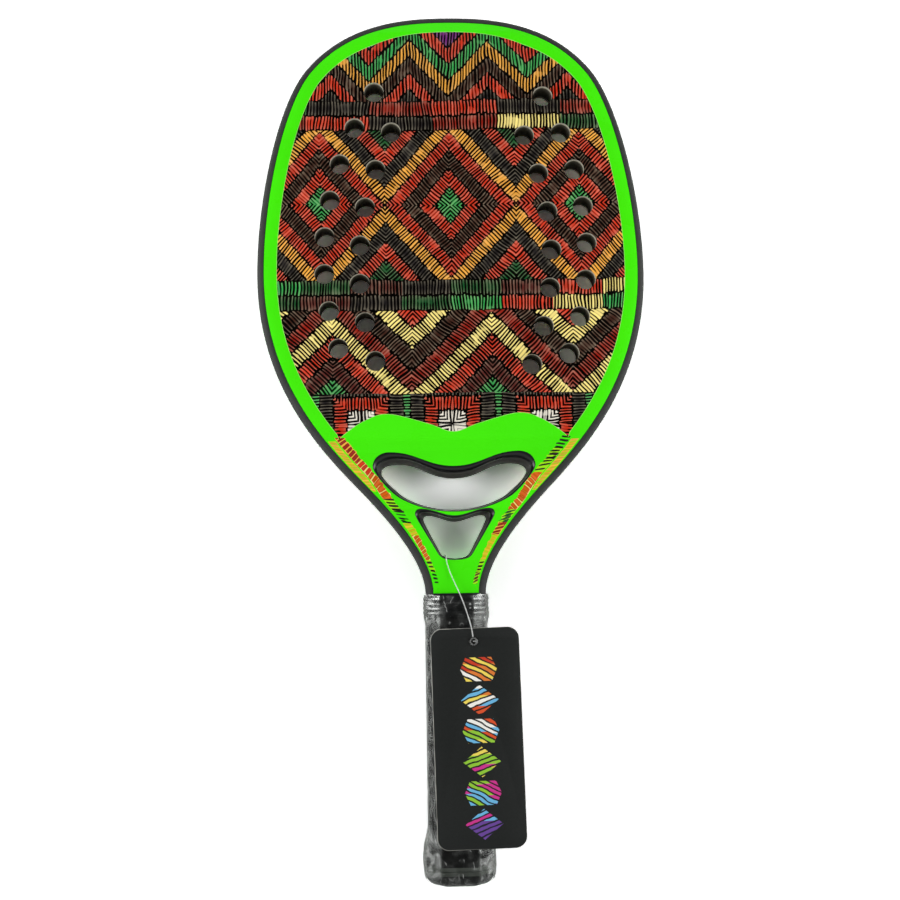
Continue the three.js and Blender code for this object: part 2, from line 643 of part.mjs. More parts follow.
// The wrap: one strip wound up the handle, each turn lying with its lower edge on the turn before, so
// that its surface is a helical staircase. Places across the strip are shares of the pitch.
const STRIP_SHARES = [0, 0.02, 0.26, 0.5, 0.75];
const TURNS_BELOW = 1.3;
function gripWrap() {
  const perTurn = handleSection(0).length;
  const startY = lipEndY - WRAP_PITCH * TURNS_BELOW;
  const steps = Math.ceil(((wrapHighY - startY) / WRAP_PITCH + 1) * perTurn);
  const profiles = Array.from({ length: steps + 1 }, (_, step) =>
    STRIP_SHARES.map((share, k) => {
      const y = startY + WRAP_PITCH * (step / perTurn + share);
      const lap = k === 0 ? 0 : WRAP_OVERLAP_STEP * (1 - share);
      const p = handleSection(wrapOuter - WRAP_OVERLAP_STEP + lap + underWrap(y))[step % perTurn];
      return vec3(p.x, y, p.y);
    }),
  );
  const farOut = palletHalfWidth;
  const ends = handleBody([[lipEndY + BOND_GAP, farOut], [wrapHighY, farOut]]);
  const hollow = handleBody([
    [0, FLARE + BOND_GAP],
    [flareEndY + BOND_GAP, FLARE + BOND_GAP],
    [skirtEndY, BOND_GAP],
    [HANDLE_LENGTH, BOND_GAP],
  ]);
  const thinEnd = BOND_GAP + WRAP_THIN_END;
  const fullStretch = handleBody([[0, farOut], [collarLowY - BOND_GAP, farOut]]);
  const thinStretch = handleBody([[0, thinEnd], [HANDLE_LENGTH, thinEnd]]);
  const strip = solid(woundSkin(profiles, perTurn)).intersect(fullStretch.add(thinStretch));
  return geometryOf(strip.intersect(ends).subtract(hollow));
}

// The rubber collar: it grips the pallets, and its skirt covers the thin end of the wrap
function gripCollar() {
  const pitch = COLLAR_LENGTH / (COLLAR_RIBS + 1);
  const rows = [[collarLowY, collarBase]];
  for (let k = 1; k <= COLLAR_RIBS; k += 1) {
    const middle = collarLowY + pitch * k;
    const [near, far] = [middle - COLLAR_RIB_WIDTH / 2, middle + COLLAR_RIB_WIDTH / 2];
    rows.push([near - COLLAR_RIB_HEIGHT, collarBase], [near, collarOuter]);
    rows.push([far, collarOuter], [far + COLLAR_RIB_HEIGHT, collarBase]);
  }
  rows.push([handleHighY, collarBase]);
  const skirt = collarBase - COLLAR_WALL;
  const bore = handleBody([[0, BOND_GAP], [LENGTH, BOND_GAP]]);
  const skirtBore = handleBody([[0, skirt], [wrapHighY + BOND_GAP, skirt]]);
  return geometryOf(handleBody(rows).subtract(bore).subtract(skirtBore));
}

// The clear sleeve, shrunk over the whole handle and turned in over the end of the cap
function clearSleeve() {
  const skin = (distance) => [
    ...buttEndRows(distance),
    [flareEndY, capLip + distance],
    [skirtEndY + SLEEVE_BRIDGING, gripOuter + distance],
  ];
  const opening = capLip - CAP_ROUND - SLEEVE_END_LIP;
  const outside = handleBody([...skin(sleeveAllowance), [handleHighY, gripOuter + sleeveAllowance]]);
  const inside = handleBody([...skin(BOND_GAP), [LENGTH, gripOuter + BOND_GAP]]);
  const endOpening = handleBody([[-CUT_OVERRUN, opening], [capLowY, opening]]);
  return geometryOf(outside.subtract(inside).subtract(endOpening));
}

// The hang tag, drawn round its own hole
function hangTag() {
  const centre = vec(TAG_HOLE_SIDE_OFFSET, TAG_HOLE_FROM_TOP - TAG_HEIGHT / 2);
  const shape = roundedRectangle(centre, TAG_WIDTH, TAG_HEIGHT, TAG_CORNER);
  shape.holes.push(new THREE.Path().absarc(0, 0, TAG_HOLE_DIAMETER / 2, 0, Math.PI * 2));
  return new THREE.ExtrudeGeometry(shape, { depth: TAG_THICKNESS, bevelEnabled: false, curveSegments: 4 });
}

// The clear loop: out of the lock and down through the tag's hole, round the right side of the handle,
// up behind the neck, through the lower opening and back over the front to the side of the lock
const LOOP_ROUTE = [
  vec3(9.1, 136.1, 18.1),
  vec3(9.2, 136.1, 17.3),
  vec3(10.3, 136.3, 16.5),
  vec3(13.2, 136.8, 15.2),
  vec3(17, 137.6, 12.2),
  vec3(19.2, 138.3, 7.5),
  vec3(19.6, 138.8, 1),
  vec3(19.3, 139.3, -6),
  vec3(16.6, 140.2, -12.2),
  vec3(12, 141.8, -15.8),
  vec3(6.8, 145.3, -16.6),
  vec3(2.6, 151, -16.7),
  vec3(-0.6, 157.4, -16.7),
  vec3(-2.5, 163.2, -16.2),
  vec3(-4.1, 169, -13.8),
  vec3(-5.2, 175.2, -11.9),
  vec3(-5.7, 180.8, -11.4),
  vec3(-5.7, 183.6, -10.2),
  vec3(-5.6, 184.5, -6),
  vec3(-5.5, 184.7, 0),
  vec3(-5.5, 184.5, 6),
  vec3(-5.4, 183.6, 10.2),
  vec3(-5.1, 180.8, 11.4),
  vec3(-3.9, 176.5, 11.7),
  vec3(-2.1, 171.8, 12.4),
  vec3(0.1, 166.8, 14.2),
  vec3(2.3, 161.6, 16.2),
  vec3(4.4, 156, 16.9),
  vec3(6.2, 150.4, 17.9),
  vec3(7.5, 145.8, 19.2),
  vec3(8.3, 141.8, 19.9),
  vec3(8.7, 138.6, 20),
];
function tagLoop() {
  const section = new THREE.Shape();
  section.absarc(0, 0, LOOP_DIAMETER / 2, 0, Math.PI * 2);
  const extrudePath = new THREE.CatmullRomCurve3(LOOP_ROUTE);
  const options = { steps: LOOP_STEPS, curveSegments: LOOP_SIDES / 2, extrudePath };
  return new THREE.ExtrudeGeometry(section, options);
}

// The small bead that locks both ends of the loop
const LOCK_PROFILE_SHARES = [[0, 0], [0.75, 0], [1, 0.25], [1, 0.75], [0.75, 1], [0, 1]];
function loopLock() {
  const profile = LOCK_PROFILE_SHARES.map(([across, up]) => vec(LOCK_RADIUS * across, LOCK_HEIGHT * up));
  return new THREE.LatheGeometry(profile, LOCK_SIDES).rotateX(Math.PI / 2);
}

function finish(color, roughness, metalness = 0) {
  return new THREE.MeshStandardMaterial({ color, roughness, metalness });
}

const finishes = {
  lacquer: finish(0x46f50f, 0.25),
  gunmetal: finish(0x33333a, 0.35, 0.4),
  foam: finish(0x26262a, 0.9),
  pallet: finish(0x8a8f86, 0.85),
  cap: finish(0x1b1c1b, 0.5),
  wrap: finish(0x241f1d, 0.75),
  rubber: finish(0x151515, 0.7),
  steel: finish(0xb9bcc0, 0.35, 1),
  clear: finish(0xcfd6d2, 0.08),
  card: finish(0x1a1c1c, 0.45),
};

function add(parent, name, geometry, material) {
  const mesh = new THREE.Mesh(geometry, material);
  mesh.name = name;
  parent.add(mesh);
  return mesh;
}

const racket = new THREE.Group();
racket.position.set(0, -LENGTH / 2, buttHalfThickness);

const head = new THREE.Group();
add(head, "frame_hoop", frameHoop(), finishes.gunmetal);
add(head, "foam_core", foamCore(), finishes.foam);
add(head, "upper_bridge", upperBridge(), finishes.gunmetal);
add(head, "lower_bridge", lowerBridge(), finishes.gunmetal);
add(head, "neck_filler", neckFiller(), finishes.foam);
const sheet = faceSheet();
add(head, "front_face", sheet, finishes.lacquer).position.z = halfThickness - SHEET_THICKNESS;
add(head, "back_face", sheet, finishes.lacquer).position.z = -halfThickness;

const handle = new THREE.Group();
const frontPallet = pallet();
add(handle, "pallet_front", frontPallet, finishes.pallet);
add(handle, "pallet_back", frontPallet, finishes.pallet).rotation.y = Math.PI;
add(handle, "butt_cap", buttCap(), finishes.cap);
const frontStaple = staple(0);
add(handle, "staple_front", frontStaple, finishes.steel);
add(handle, "staple_back", frontStaple, finishes.steel).rotation.y = Math.PI;
add(handle, "grip_wrap", gripWrap(), finishes.wrap);
add(handle, "grip_collar", gripCollar(), finishes.rubber);
add(handle, "clear_sleeve", clearSleeve(), finishes.clear);

const tag = new THREE.Group();
tag.position.set(TAG_HOLE_X, TAG_HOLE_Y, tagTop - TAG_THICKNESS);
tag.rotation.z = degToRad(TAG_TURN);
add(tag, "hang_tag", hangTag(), finishes.card);
add(tag, "loop_lock", loopLock(), finishes.clear).position.z = TAG_THICKNESS + BOND_GAP;

racket.add(head, handle, tag);
add(racket, "tag_loop", tagLoop(), finishes.clear);

export default racket;
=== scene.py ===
# %% [markdown]
# # A beach tennis racket
# The real racket is a moulded tube bent round a slab of soft foam, with a printed sheet glued to the
# front and to the back. Its handle is wound with a grip strip and is still in the clear film that it
# was sold in, and a card tag hangs from a plastic strand. The measured solids come first, because
# each piece that is shown here takes its size and its place from them.

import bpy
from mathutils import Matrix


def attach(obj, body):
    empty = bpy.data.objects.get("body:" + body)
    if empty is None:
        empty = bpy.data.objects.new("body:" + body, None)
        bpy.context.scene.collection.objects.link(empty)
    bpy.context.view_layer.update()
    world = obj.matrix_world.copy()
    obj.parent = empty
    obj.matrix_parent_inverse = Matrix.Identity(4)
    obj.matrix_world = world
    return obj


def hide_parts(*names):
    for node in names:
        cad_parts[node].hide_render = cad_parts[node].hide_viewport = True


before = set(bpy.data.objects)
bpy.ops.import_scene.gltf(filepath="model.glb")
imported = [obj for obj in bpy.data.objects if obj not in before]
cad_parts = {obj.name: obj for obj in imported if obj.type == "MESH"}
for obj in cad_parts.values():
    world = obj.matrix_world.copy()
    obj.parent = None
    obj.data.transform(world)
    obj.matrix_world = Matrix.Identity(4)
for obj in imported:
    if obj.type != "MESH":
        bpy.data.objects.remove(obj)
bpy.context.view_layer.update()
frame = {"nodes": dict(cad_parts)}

# %% [markdown]
# Lengths are easier to read in millimetres, as on a drawing, and Blender works in metres. So one
# helper turns a place on the drawing into a place in the scene: across the face, along the racket
# from its butt, and out of the middle of its thickness.

# %% Millimetres on the drawing, metres in the scene
import math
from functools import partialmethod

import bpy
from mathutils import Euler, Vector
from mathutils.geometry import interpolate_bezier

MM = 0.001
MIDDLE_Y = 250.0
MIDDLE_Z = 17.4


def place(x, y, z):
    return Vector((x * MM, (y - MIDDLE_Y) * MM, (z + MIDDLE_Z) * MM))


def take(piece):
    bpy.ops.object.select_all(action="DESELECT")
    piece.select_set(True)
    bpy.context.view_layer.objects.active = piece


def put(name, data):
    """A new object of that name in the scene."""
    piece = bpy.data.objects.new(name, data)
    bpy.context.scene.collection.objects.link(piece)
    return piece


def settle(piece, name):
    """Moves the piece's place into its mesh, so that its object sits at the origin."""
    take(piece)
    bpy.ops.object.transform_apply(location=True, rotation=True, scale=True)
    piece.name = name
    return piece


def thicken(piece, wall, offset):
    """Gives a surface a wall, behind it for offset -1 and to both sides of it for 0."""
    take(piece)
    modifier = piece.modifiers.new("wall", "SOLIDIFY")
    modifier.thickness, modifier.offset = wall * MM, offset
    bpy.ops.object.modifier_apply(modifier="wall")


def mend(piece, weld=None):
    """Joins points that lie within weld metres, and turns every face outwards."""
    take(piece)
    bpy.ops.object.mode_set(mode="EDIT")
    bpy.ops.mesh.select_all(action="SELECT")
    if weld:
        bpy.ops.mesh.remove_doubles(threshold=weld)
    bpy.ops.mesh.normals_make_consistent(inside=False)
    bpy.ops.object.mode_set(mode="OBJECT")


def finish_piece(piece, slot, *nodes, body="racket", smooth=40):
    take(piece)
    bpy.ops.object.shade_smooth_by_angle(angle=math.radians(smooth))
    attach(piece, body)
    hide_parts(*nodes)
    return piece


def turned(x, y, angle):
    """A spot after a turn about the origin."""
    return x * math.cos(angle) - y * math.sin(angle), x * math.sin(angle) + y * math.cos(angle)


def clipped(value):
    return min(1.0, max(0.0, value))


def eased(value):
    """Goes softly from 0 to 1 while the value does."""
    share = clipped(value)
    return share * share * (3 - 2 * share)


# %% [markdown]
# The photograph was taken from about 0.84 m above the racket. The camera stood a little below the
# racket's middle, tipped towards it by five degrees and rolled by less than one. It comes first,
# since the strand's room is judged by it.

# %% Camera
camera = put("camera", bpy.data.cameras.new("camera"))
camera.location = (-0.0219, -0.0751, 0.8362)
camera.rotation_euler = Euler([math.radians(a) for a in (4.924, -1.3182, -0.8599)], "XYZ")
camera.data.lens = 56.89
camera.data.sensor_width = 36
bpy.context.scene.camera = camera
print("camera:", round(camera.location.z, 2), "m up")

# %% [markdown]
# The tag's strand is a thin clear plastic line, less than a millimetre thick. It leaves the lock in
# front of the tag, runs round the handle, up behind the neck, through the lower opening and back to
# the lock. A curve with smooth handles follows such a line well, and its bevel gives the thickness.

# %% The strand's route
# only the strand's lit core is drawn, as it looks in the photograph
STRAND_WIDTH, LIT_SHARE = 0.8, 0.78
STRAND_ROUTE = [
    (9.1, 136.1, 18.1), (9.2, 136.1, 17.3), (10.3, 136.3, 16.5), (13.2, 136.8, 15.2),
    (17, 137.6, 12.2), (19.2, 138.3, 7.5), (19.6, 138.8, 1), (19.3, 139.3, -6),
    (16.6, 140.2, -12.2), (12, 141.8, -15.8), (6.8, 145.3, -16.6), (2.6, 151, -16.7),
    (-0.6, 157.4, -16.7), (-2.5, 163.2, -16.2), (-4.1, 169, -13.8), (-5.2, 175.2, -11.9),
    (-5.7, 180.8, -11.4), (-5.7, 183.6, -10.2), (-5.6, 184.5, -6), (-5.5, 184.7, 0),
    (-5.5, 184.5, 6), (-5.4, 183.6, 10.2), (-5.1, 180.8, 11.4), (-3.9, 176.5, 11.7),
    (-2.1, 171.8, 12.4), (0.1, 166.8, 14.2), (2.3, 161.6, 16.2), (4.4, 156, 16.9),
    (6.2, 150.4, 17.9), (7.5, 145.8, 19.2), (8.3, 141.8, 19.9), (8.7, 138.6, 20),
]
line = bpy.data.curves.new("tag_strand", "CURVE")
line.dimensions = "3D"
line.bevel_depth = STRAND_WIDTH / 2 * LIT_SHARE * MM
line.bevel_resolution = 3
line.resolution_u = 8
line.use_fill_caps = True
route = line.splines.new("BEZIER")
route.bezier_points.add(len(STRAND_ROUTE) - 1)
for knot, spot in zip(route.bezier_points, STRAND_ROUTE):
    knot.co = place(*spot)
    knot.handle_left_type = knot.handle_right_type = "AUTO"
tag_strand = put("tag_strand", line)
take(tag_strand)
bpy.context.view_layer.update()
strand_path = []
for a, b in zip(route.bezier_points, route.bezier_points[1:]):
    strand_path += interpolate_bezier(a.co, a.handle_right, b.handle_left, b.co, 9)[:-1]
strand_path.append(route.bezier_points[-1].co.copy())
bpy.ops.object.convert(target="MESH")
bpy.ops.object.shade_smooth()
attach(tag_strand, "racket")
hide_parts("tag_loop")

# %% [markdown]
# The studio is plain. A pale floor lies under the racket. Two long soft lamps stand beside it, low
# enough to put a stripe of light on the edges and the film, and a third one stands beyond the crown.

# %% Floor and lamps
FLOOR_SIZE, FLOOR_DROP = 30, 0.0002
bpy.ops.mesh.primitive_plane_add(size=FLOOR_SIZE, location=(0, 0, -FLOOR_DROP))
floor = settle(bpy.context.object, "studio_floor")
# place, aim, size and power
LAMPS = {
    "lamp_left": ((-0.85, 0.0, 0.32), (0, 0.02, 0.02), (0.45, 1.1), 7.4),
    "lamp_right": ((0.85, 0.0, 0.32), (0, 0.02, 0.02), (0.45, 1.1), 7.4),
    "lamp_crown": ((0.0, 1.3, 0.75), (0, 0.1, 0.02), (1.2, 0.4), 3.4),
}
for name, (spot, aim, size, power) in LAMPS.items():
    lamp = put(name, bpy.data.lights.new(name, "AREA"))
    lamp.location = spot
    lamp.rotation_euler = (Vector(aim) - Vector(spot)).to_track_quat("-Z", "Y").to_euler()
    lamp.data.shape = "RECTANGLE"
    lamp.data.size, lamp.data.size_y = size
    lamp.data.energy = power
bpy.context.scene.view_settings.view_transform = "Standard"
print("lamps:", len(LAMPS))

# %% [markdown]
# Materials are written as sums. A small class stands for a number or a colour that varies over the
# surface, and adding or multiplying two of them adds the Math nodes that do it.


# %% Sums on a surface
class Amount:
    """A number, colour or vector on its way through a material."""

    def __init__(self, finish, socket):
        self.finish, self.socket = finish, socket

    def sum(self, operation, *others):
        return self.finish.node("ShaderNodeMath", {"operation": operation}, [self, *others])

    def sum_after(self, operation, first):
        return self.finish.node("ShaderNodeMath", {"operation": operation}, [first, self])

    __add__ = __radd__ = partialmethod(sum, "ADD")
    __mul__ = __rmul__ = partialmethod(sum, "MULTIPLY")
    __sub__, __rsub__ = partialmethod(sum, "SUBTRACT"), partialmethod(sum_after, "SUBTRACT")
    __truediv__, __rtruediv__ = partialmethod(sum, "DIVIDE"), partialmethod(sum_after, "DIVIDE")
    __pow__, __abs__ = partialmethod(sum, "POWER"), partialmethod(sum, "ABSOLUTE")
    whole, rest = partialmethod(sum, "FLOOR"), partialmethod(sum, "FRACT")
    under, over = partialmethod(sum, "LESS_THAN"), partialmethod(sum, "GREATER_THAN")
    smaller, larger = partialmethod(sum, "MINIMUM"), partialmethod(sum, "MAXIMUM")

    def ramp(self, low, high, to_low=0.0, to_high=1.0):
        """Goes smoothly from one value to another while this one goes from low to high."""
        settings = {"interpolation_type": "SMOOTHSTEP"}
        return self.finish.node("ShaderNodeMapRange", settings, [self, low, high, to_low, to_high])

    def towards(self, other, share):
        """This number where share is 0, the other one where it is 1."""
        return self + (other - self) * share


# %% [markdown]
# A finish is a material that is being put together. One method adds any node: it takes the node's
# type, its settings, and what goes into its sockets. The others name the few kinds of node that this
# racket needs, such as noise, random numbers, mixed colours and bumps.


# %% Finish
class Finish:
    """A material or the air under construction, with its own shader."""

    def __init__(self, name, air=False, **constants):
        self.material = (bpy.data.worlds if air else bpy.data.materials).new(name)
        self.material.use_nodes = True
        self.tree = self.material.node_tree
        self.shader = self.tree.nodes["Background" if air else "Principled BSDF"]
        self.join(**constants)

    def feed(self, socket, value):
        """A socket takes an amount, a number, or a colour as numbers or as its code."""
        value = paint(value) if isinstance(value, str) else value
        if isinstance(value, Amount):
            self.tree.links.new(value.socket, socket)
        elif socket.type == "RGBA" and len(value) == 3:
            socket.default_value = (*value, 1.0)
        else:
            socket.default_value = value

    def node(self, kind, settings, inputs, output=0):
        """Any node: its type, its settings, and what goes into its sockets."""
        node = self.tree.nodes.new(kind)
        for name, value in settings.items():
            if name == "stops":
                node.color_ramp.interpolation = "CONSTANT"
                for k, (at, colour) in enumerate(value):
                    elements = node.color_ramp.elements
                    stop = elements[k] if k < 2 else elements.new(at)
                    stop.position, stop.color = at, (*colour, 1.0)
            elif name == "points":
                curve = node.mapping.curves[0]
                curve.points[0].location, curve.points[1].location = value[0], value[-1]
                for spot in value[1:-1]:
                    curve.points.new(*spot)
                node.mapping.update()
            else:
                setattr(node, name, value)
        pairs = inputs.items() if isinstance(inputs, dict) else enumerate(inputs)
        for key, value in pairs:
            self.feed(node.inputs[key], value)
        return Amount(self, node.outputs[output])

    def join(self, **sockets):
        """Feeds the shader, and gives the material."""
        for name, value in sockets.items():
            self.feed(self.shader.inputs[name.replace("_", " ")], value)
        return self.material

    def spot(self, *stretch):
        """Where a point is on the drawing, in millimetres, or that place stretched for a noise."""
        where = self.node("ShaderNodeTexCoord", {}, {}, "Object")
        inputs = {"Vector": where, "Location": (0.0, MIDDLE_Y, -MIDDLE_Z), "Scale": (1 / MM,) * 3}
        where = self.node("ShaderNodeMapping", {}, inputs)
        if stretch:
            where = self.node("ShaderNodeMapping", {}, {"Vector": where, "Scale": stretch})
        return where

    def parts(self, vector=None):
        """The three numbers of a vector, or of the spot on the drawing."""
        apart = self.node("ShaderNodeSeparateXYZ", {}, [vector or self.spot()])
        return [Amount(self, socket) for socket in apart.socket.node.outputs]

    def noise(self, size, detail=3.0, roughness=0.5, at=None, output="Fac"):
        """Soft random spots of about that size in millimetres."""
        inputs = {"Vector": at or self.spot(), "Scale": 1.0 / size,
                  "Detail": detail, "Roughness": roughness}
        return self.node("ShaderNodeTexNoise", {"noise_dimensions": "3D"}, inputs, output)

    def drift(self, size, low, high, detail=3.0, roughness=0.5):
        """Goes softly to and fro between two values over the surface."""
        return self.noise(size, detail, roughness).ramp(0.3, 0.7, low, high)

    def cells(self, scale, feature="F1"):
        inputs = {"Vector": self.spot(), "Scale": scale}
        return self.node("ShaderNodeTexVoronoi", {"feature": feature}, inputs)

    def dice(self, x, y, output="Value"):
        """A random number for each pair of numbers."""
        pair = self.node("ShaderNodeCombineXYZ", {}, [x, y])
        return self.node("ShaderNodeTexWhiteNoise", {"noise_dimensions": "3D"}, {0: pair}, output)

    def bands(self, share, colours):
        """One plain colour after another while share goes from 0 to 1."""
        stops = [(k / len(colours), c) for k, c in enumerate(colours)]
        return self.node("ShaderNodeValToRGB", {"stops": stops}, [share])

    def blend(self, low, high, share, way="MIX"):
        settings = {"data_type": "RGBA", "blend_type": way, "clamp_factor": True}
        return self.node("ShaderNodeMix", settings, {0: share, 6: low, 7: high}, 2)

    def tint(self, colour, amount):
        """The colour with its brightness multiplied."""
        grey = self.node("ShaderNodeCombineColor", {}, [amount, amount, amount])
        return self.blend(colour, grey, 1.0, "MULTIPLY")

    def bump(self, height, depth, strength):
        """A normal for a surface whose bumps are depth millimetres high."""
        inputs = {"Strength": strength, "Distance": depth * MM, "Height": height}
        return self.node("ShaderNodeBump", {}, inputs)


def paint(code):
    """A colour as it is read off a screen, such as 46f50f, in the renderer's own numbers."""
    shares = [int(code[k:k + 2], 16) / 255 for k in (0, 2, 4)]
    return tuple(s / 12.92 if s <= 0.04045 else ((s + 0.055) / 1.055) ** 2.4 for s in shares)


def dress(material, *pieces):
    for piece in pieces:
        piece.data.materials.clear()
        piece.data.materials.append(material)
    print(material.name, "on", ", ".join(piece.name for piece in pieces))


# %% [markdown]
# The floor is painted over white wherever the camera sees it, straight, in a mirror or through clear
# plastic. That turns the open floor white and leaves the shadow that the racket throws on it. The air
# is pale at the sides and darker overhead, as under a studio's ceiling, so black stays black in the
# flat faces.

# %% Floor and air, in nodes
FLOOR_PAINT, FLOOR_SEEN = (0.8, 0.8, 0.8), (2.0, 2.0, 2.0)


def floor_finish():
    f = Finish("studio_floor", Specular_IOR_Level=0.0)
    rays = ("Is Camera Ray", "Is Glossy Ray", "Is Transmission Ray")
    straight, mirrored, refracted = (f.node("ShaderNodeLightPath", {}, {}, ray) for ray in rays)
    seen = straight.larger(mirrored).larger(refracted)
    rough = f.noise(60.0).ramp(0, 1, 0.85, 0.95)
    return f.join(Base_Color=f.blend(FLOOR_PAINT, FLOOR_SEEN, seen), Roughness=rough)


dress(floor_finish(), floor)
air = Finish("studio_air", air=True)
bpy.context.scene.world = air.material
up = air.parts(air.node("ShaderNodeTexCoord", {}, {}, "Generated"))[2]
air.join(Color="ffffff", Strength=up.ramp(0.45, 0.93, 0.69, 0.08))
print("nodes in the air:", len(air.tree.nodes))

# %% [markdown]
# The racket's outline is one closed curve, drawn as five nodes from the crown to the neck and
# mirrored. Everything in the head follows it at some distance: the tube's rounded edge, the green rim
# and the print. So the outline is walked in steps, and each step keeps the direction inwards too.

# %% The outline
OUTLINE_STEPS = 26
# half width and distance from the butt, direction there, reach of the handle before and after
OUTLINE_NODES = [
    (0.0, 500.0, 1.0, 0.0, 0.0, 21.26),
    (83.7, 468.65, 0.634, -0.773, 39.25, 26.48),
    (112.5, 347.7, 0.0, -1.0, 43.57, 59.63),
    (59.74, 227.91, -0.682, -0.731, 32.32, 15.19),
    (17.3, 162.5, 0.0, -1.0, 22.79, 0.0),
]


def walk(nodes, steps=OUTLINE_STEPS):
    """Places and inward directions along a drawn half outline."""
    walked = []
    for a, b in zip(nodes, nodes[1:]):
        p0, p3 = Vector(a[:2]), Vector(b[:2])
        p1 = p0 + Vector(a[2:4]).normalized() * a[5]
        p2 = p3 - Vector(b[2:4]).normalized() * b[4]
        for k in range(steps + (b is nodes[-1])):
            t = k / steps
            u = 1 - t
            spot = p0 * u**3 + p1 * 3 * u * u * t + p2 * 3 * u * t * t + p3 * t**3
            way = (p1 - p0) * u * u + (p2 - p1) * 2 * u * t + (p3 - p2) * t * t
            way.normalize()
            walked.append((spot, Vector((way.y, -way.x))))
    return walked


def whole(half):
    """A half outline from the middle down, with its mirror image, as one closed loop."""
    left = [(-x, y) for x, y in reversed(half) if abs(x) > 0.001]
    return [tuple(p) for p in half] + left


def inset(distance):
    return [spot + inward * distance for spot, inward in walk(OUTLINE_NODES)]


print("outline:", len(whole(inset(0))), "points round the racket")

# %% [markdown]
# The print ends in a bow above the throat. The bow is drawn through a few points, and the print's
# edge is the outline's inside down to the bow, and then the bow itself.

# %% The bow and the print's edge
BOW_POINTS = [(0, 254.8), (14.5, 259.5), (37, 265.2), (50.4, 261.7), (63, 253.3), (72.4, 243.3)]
BOW_STEPS = 8
EDGE_ROUND, SEAM, RIM_WIDTH = 4.3, 0.3, 7.3
PRINT_INSET = EDGE_ROUND + SEAM + RIM_WIDTH
# the rim is narrower at the crown, within a reach of its middle
CROWN_NARROWING, CROWN_REACH, CROWN_FROM_Y = 1.9, 48, 400


def through(points):
    """A smooth line through points."""
    ends = [(-points[1][0], points[1][1]), *points]
    ends.append(tuple(2 * a - b for a, b in zip(points[-1], points[-2])))
    line = []
    for a, b, c, d in zip(ends, ends[1:], ends[2:], ends[3:]):
        a, b, c, d = (Vector(p) for p in (a, b, c, d))
        for k in range(BOW_STEPS):
            t = k / BOW_STEPS
            line.append(b + (c - a) * t / 2 + (a * 2 - b * 5 + c * 4 - d) * t * t / 2
                        + (b * 3 - a - c * 3 + d) * t**3 / 2)
    return line + [Vector(points[-1])]


def head_above_bow(distance):
    """The loop round the head at a distance inside the outline, closed by the bow."""
    bow = through(BOW_POINTS)

    def bow_height(x):
        for a, b in zip(bow, bow[1:]):
            if a.x <= x <= b.x:
                return a.y + (b.y - a.y) * (x - a.x) / (b.x - a.x)
        return -1000.0

    side = []
    for spot, inward in walk(OUTLINE_NODES):
        at_crown = spot.y > CROWN_FROM_Y
        nearer = CROWN_NARROWING * max(0.0, 1 - (spot.x / CROWN_REACH) ** 2) if at_crown else 0.0
        point = spot + inward * (distance - nearer)
        if point.y > bow_height(point.x):
            side.append(point)
    below = [p for p in bow if p.x < side[-1].x - 0.4]
    return whole(side + below[::-1])[:-1]


# %% [markdown]
# The face is drilled with thirty holes in two bowed rows on each side, all turned a little together.

# %% The holes
HOLE_WIDTH = 11.5
HEAD_HALF, WIDEST_Y = OUTLINE_NODES[2][:2]
CROWN_RISE, YOKE_RISE = 152.3, 185.2
ROW_BEND_RADIUS, DRILL_TURN, DRILL_ASIDE = 167, math.radians(-1.77), 2.4
# number of holes, and as shares of the head: distance from the middle, and the heights of the top
# hole, of the row's widest place and of the low hole
HOLE_ROWS = [
    (8, 0.6756, 0.6888, 0.0676, 0.25),
    (7, 0.4942, 0.5338, 0.0414, 0.2867),
]


def hole_centres():
    centres = []
    for count, across, top, widest, low in HOLE_ROWS:
        for k in range(count):
            rise = top * CROWN_RISE + (-low * YOKE_RISE - top * CROWN_RISE) * k / (count - 1)
            bend = (rise - widest * CROWN_RISE) ** 2 / (2 * ROW_BEND_RADIUS)
            for side in (-1, 1):
                spot = Vector((side * (HEAD_HALF * across - bend), rise))
                x, y = turned(*spot, DRILL_TURN)
                centres.append((x + DRILL_ASIDE, WIDEST_Y + y))
    return centres


def ring(centre, radius, steps):
    turns = [math.tau * k / steps for k in range(steps)]
    return [(centre[0] + radius * math.cos(a), centre[1] + radius * math.sin(a)) for a in turns]


drilled = [ring(centre, HOLE_WIDTH / 2, 40) for centre in hole_centres()]
print("holes:", len(drilled))

# %% [markdown]
# A flat piece with holes, such as a printed sheet, is drawn as one flat curve: Blender fills between
# its outer loop and the loops inside it. The curve's own depth makes the thickness and its bevel
# softens the edges, and it is then made a mesh, with its place in it.


# %% Flat pieces
def flat_piece(name, loops, low, high, edge):
    drawing = bpy.data.curves.new(name, "CURVE")
    drawing.dimensions = "2D"
    drawing.fill_mode = "BOTH"
    for loop in loops:
        spline = drawing.splines.new("POLY")
        spline.points.add(len(loop) - 1)
        for knot, (x, y) in zip(spline.points, loop):
            knot.co = (x * MM, (y - MIDDLE_Y) * MM, 0, 1)
        spline.use_cyclic_u = True
    drawing.extrude = ((high - low) / 2 - edge) * MM
    drawing.bevel_depth = edge * MM
    drawing.offset = -edge * MM
    drawing.bevel_resolution = 1
    piece = put(name, drawing)
    piece.location.z = ((low + high) / 2 + MIDDLE_Z) * MM
    take(piece)
    bpy.ops.object.convert(target="MESH")
    mend(piece, 0.005 * MM)
    settle(piece, name)
    print(name, len(piece.data.polygons), "faces")
    return piece


# %% [markdown]
# The two openings of the throat have one outline where they meet the face and a smaller one half way
# through the racket, since the wall between is rounded like the inside of a ring.

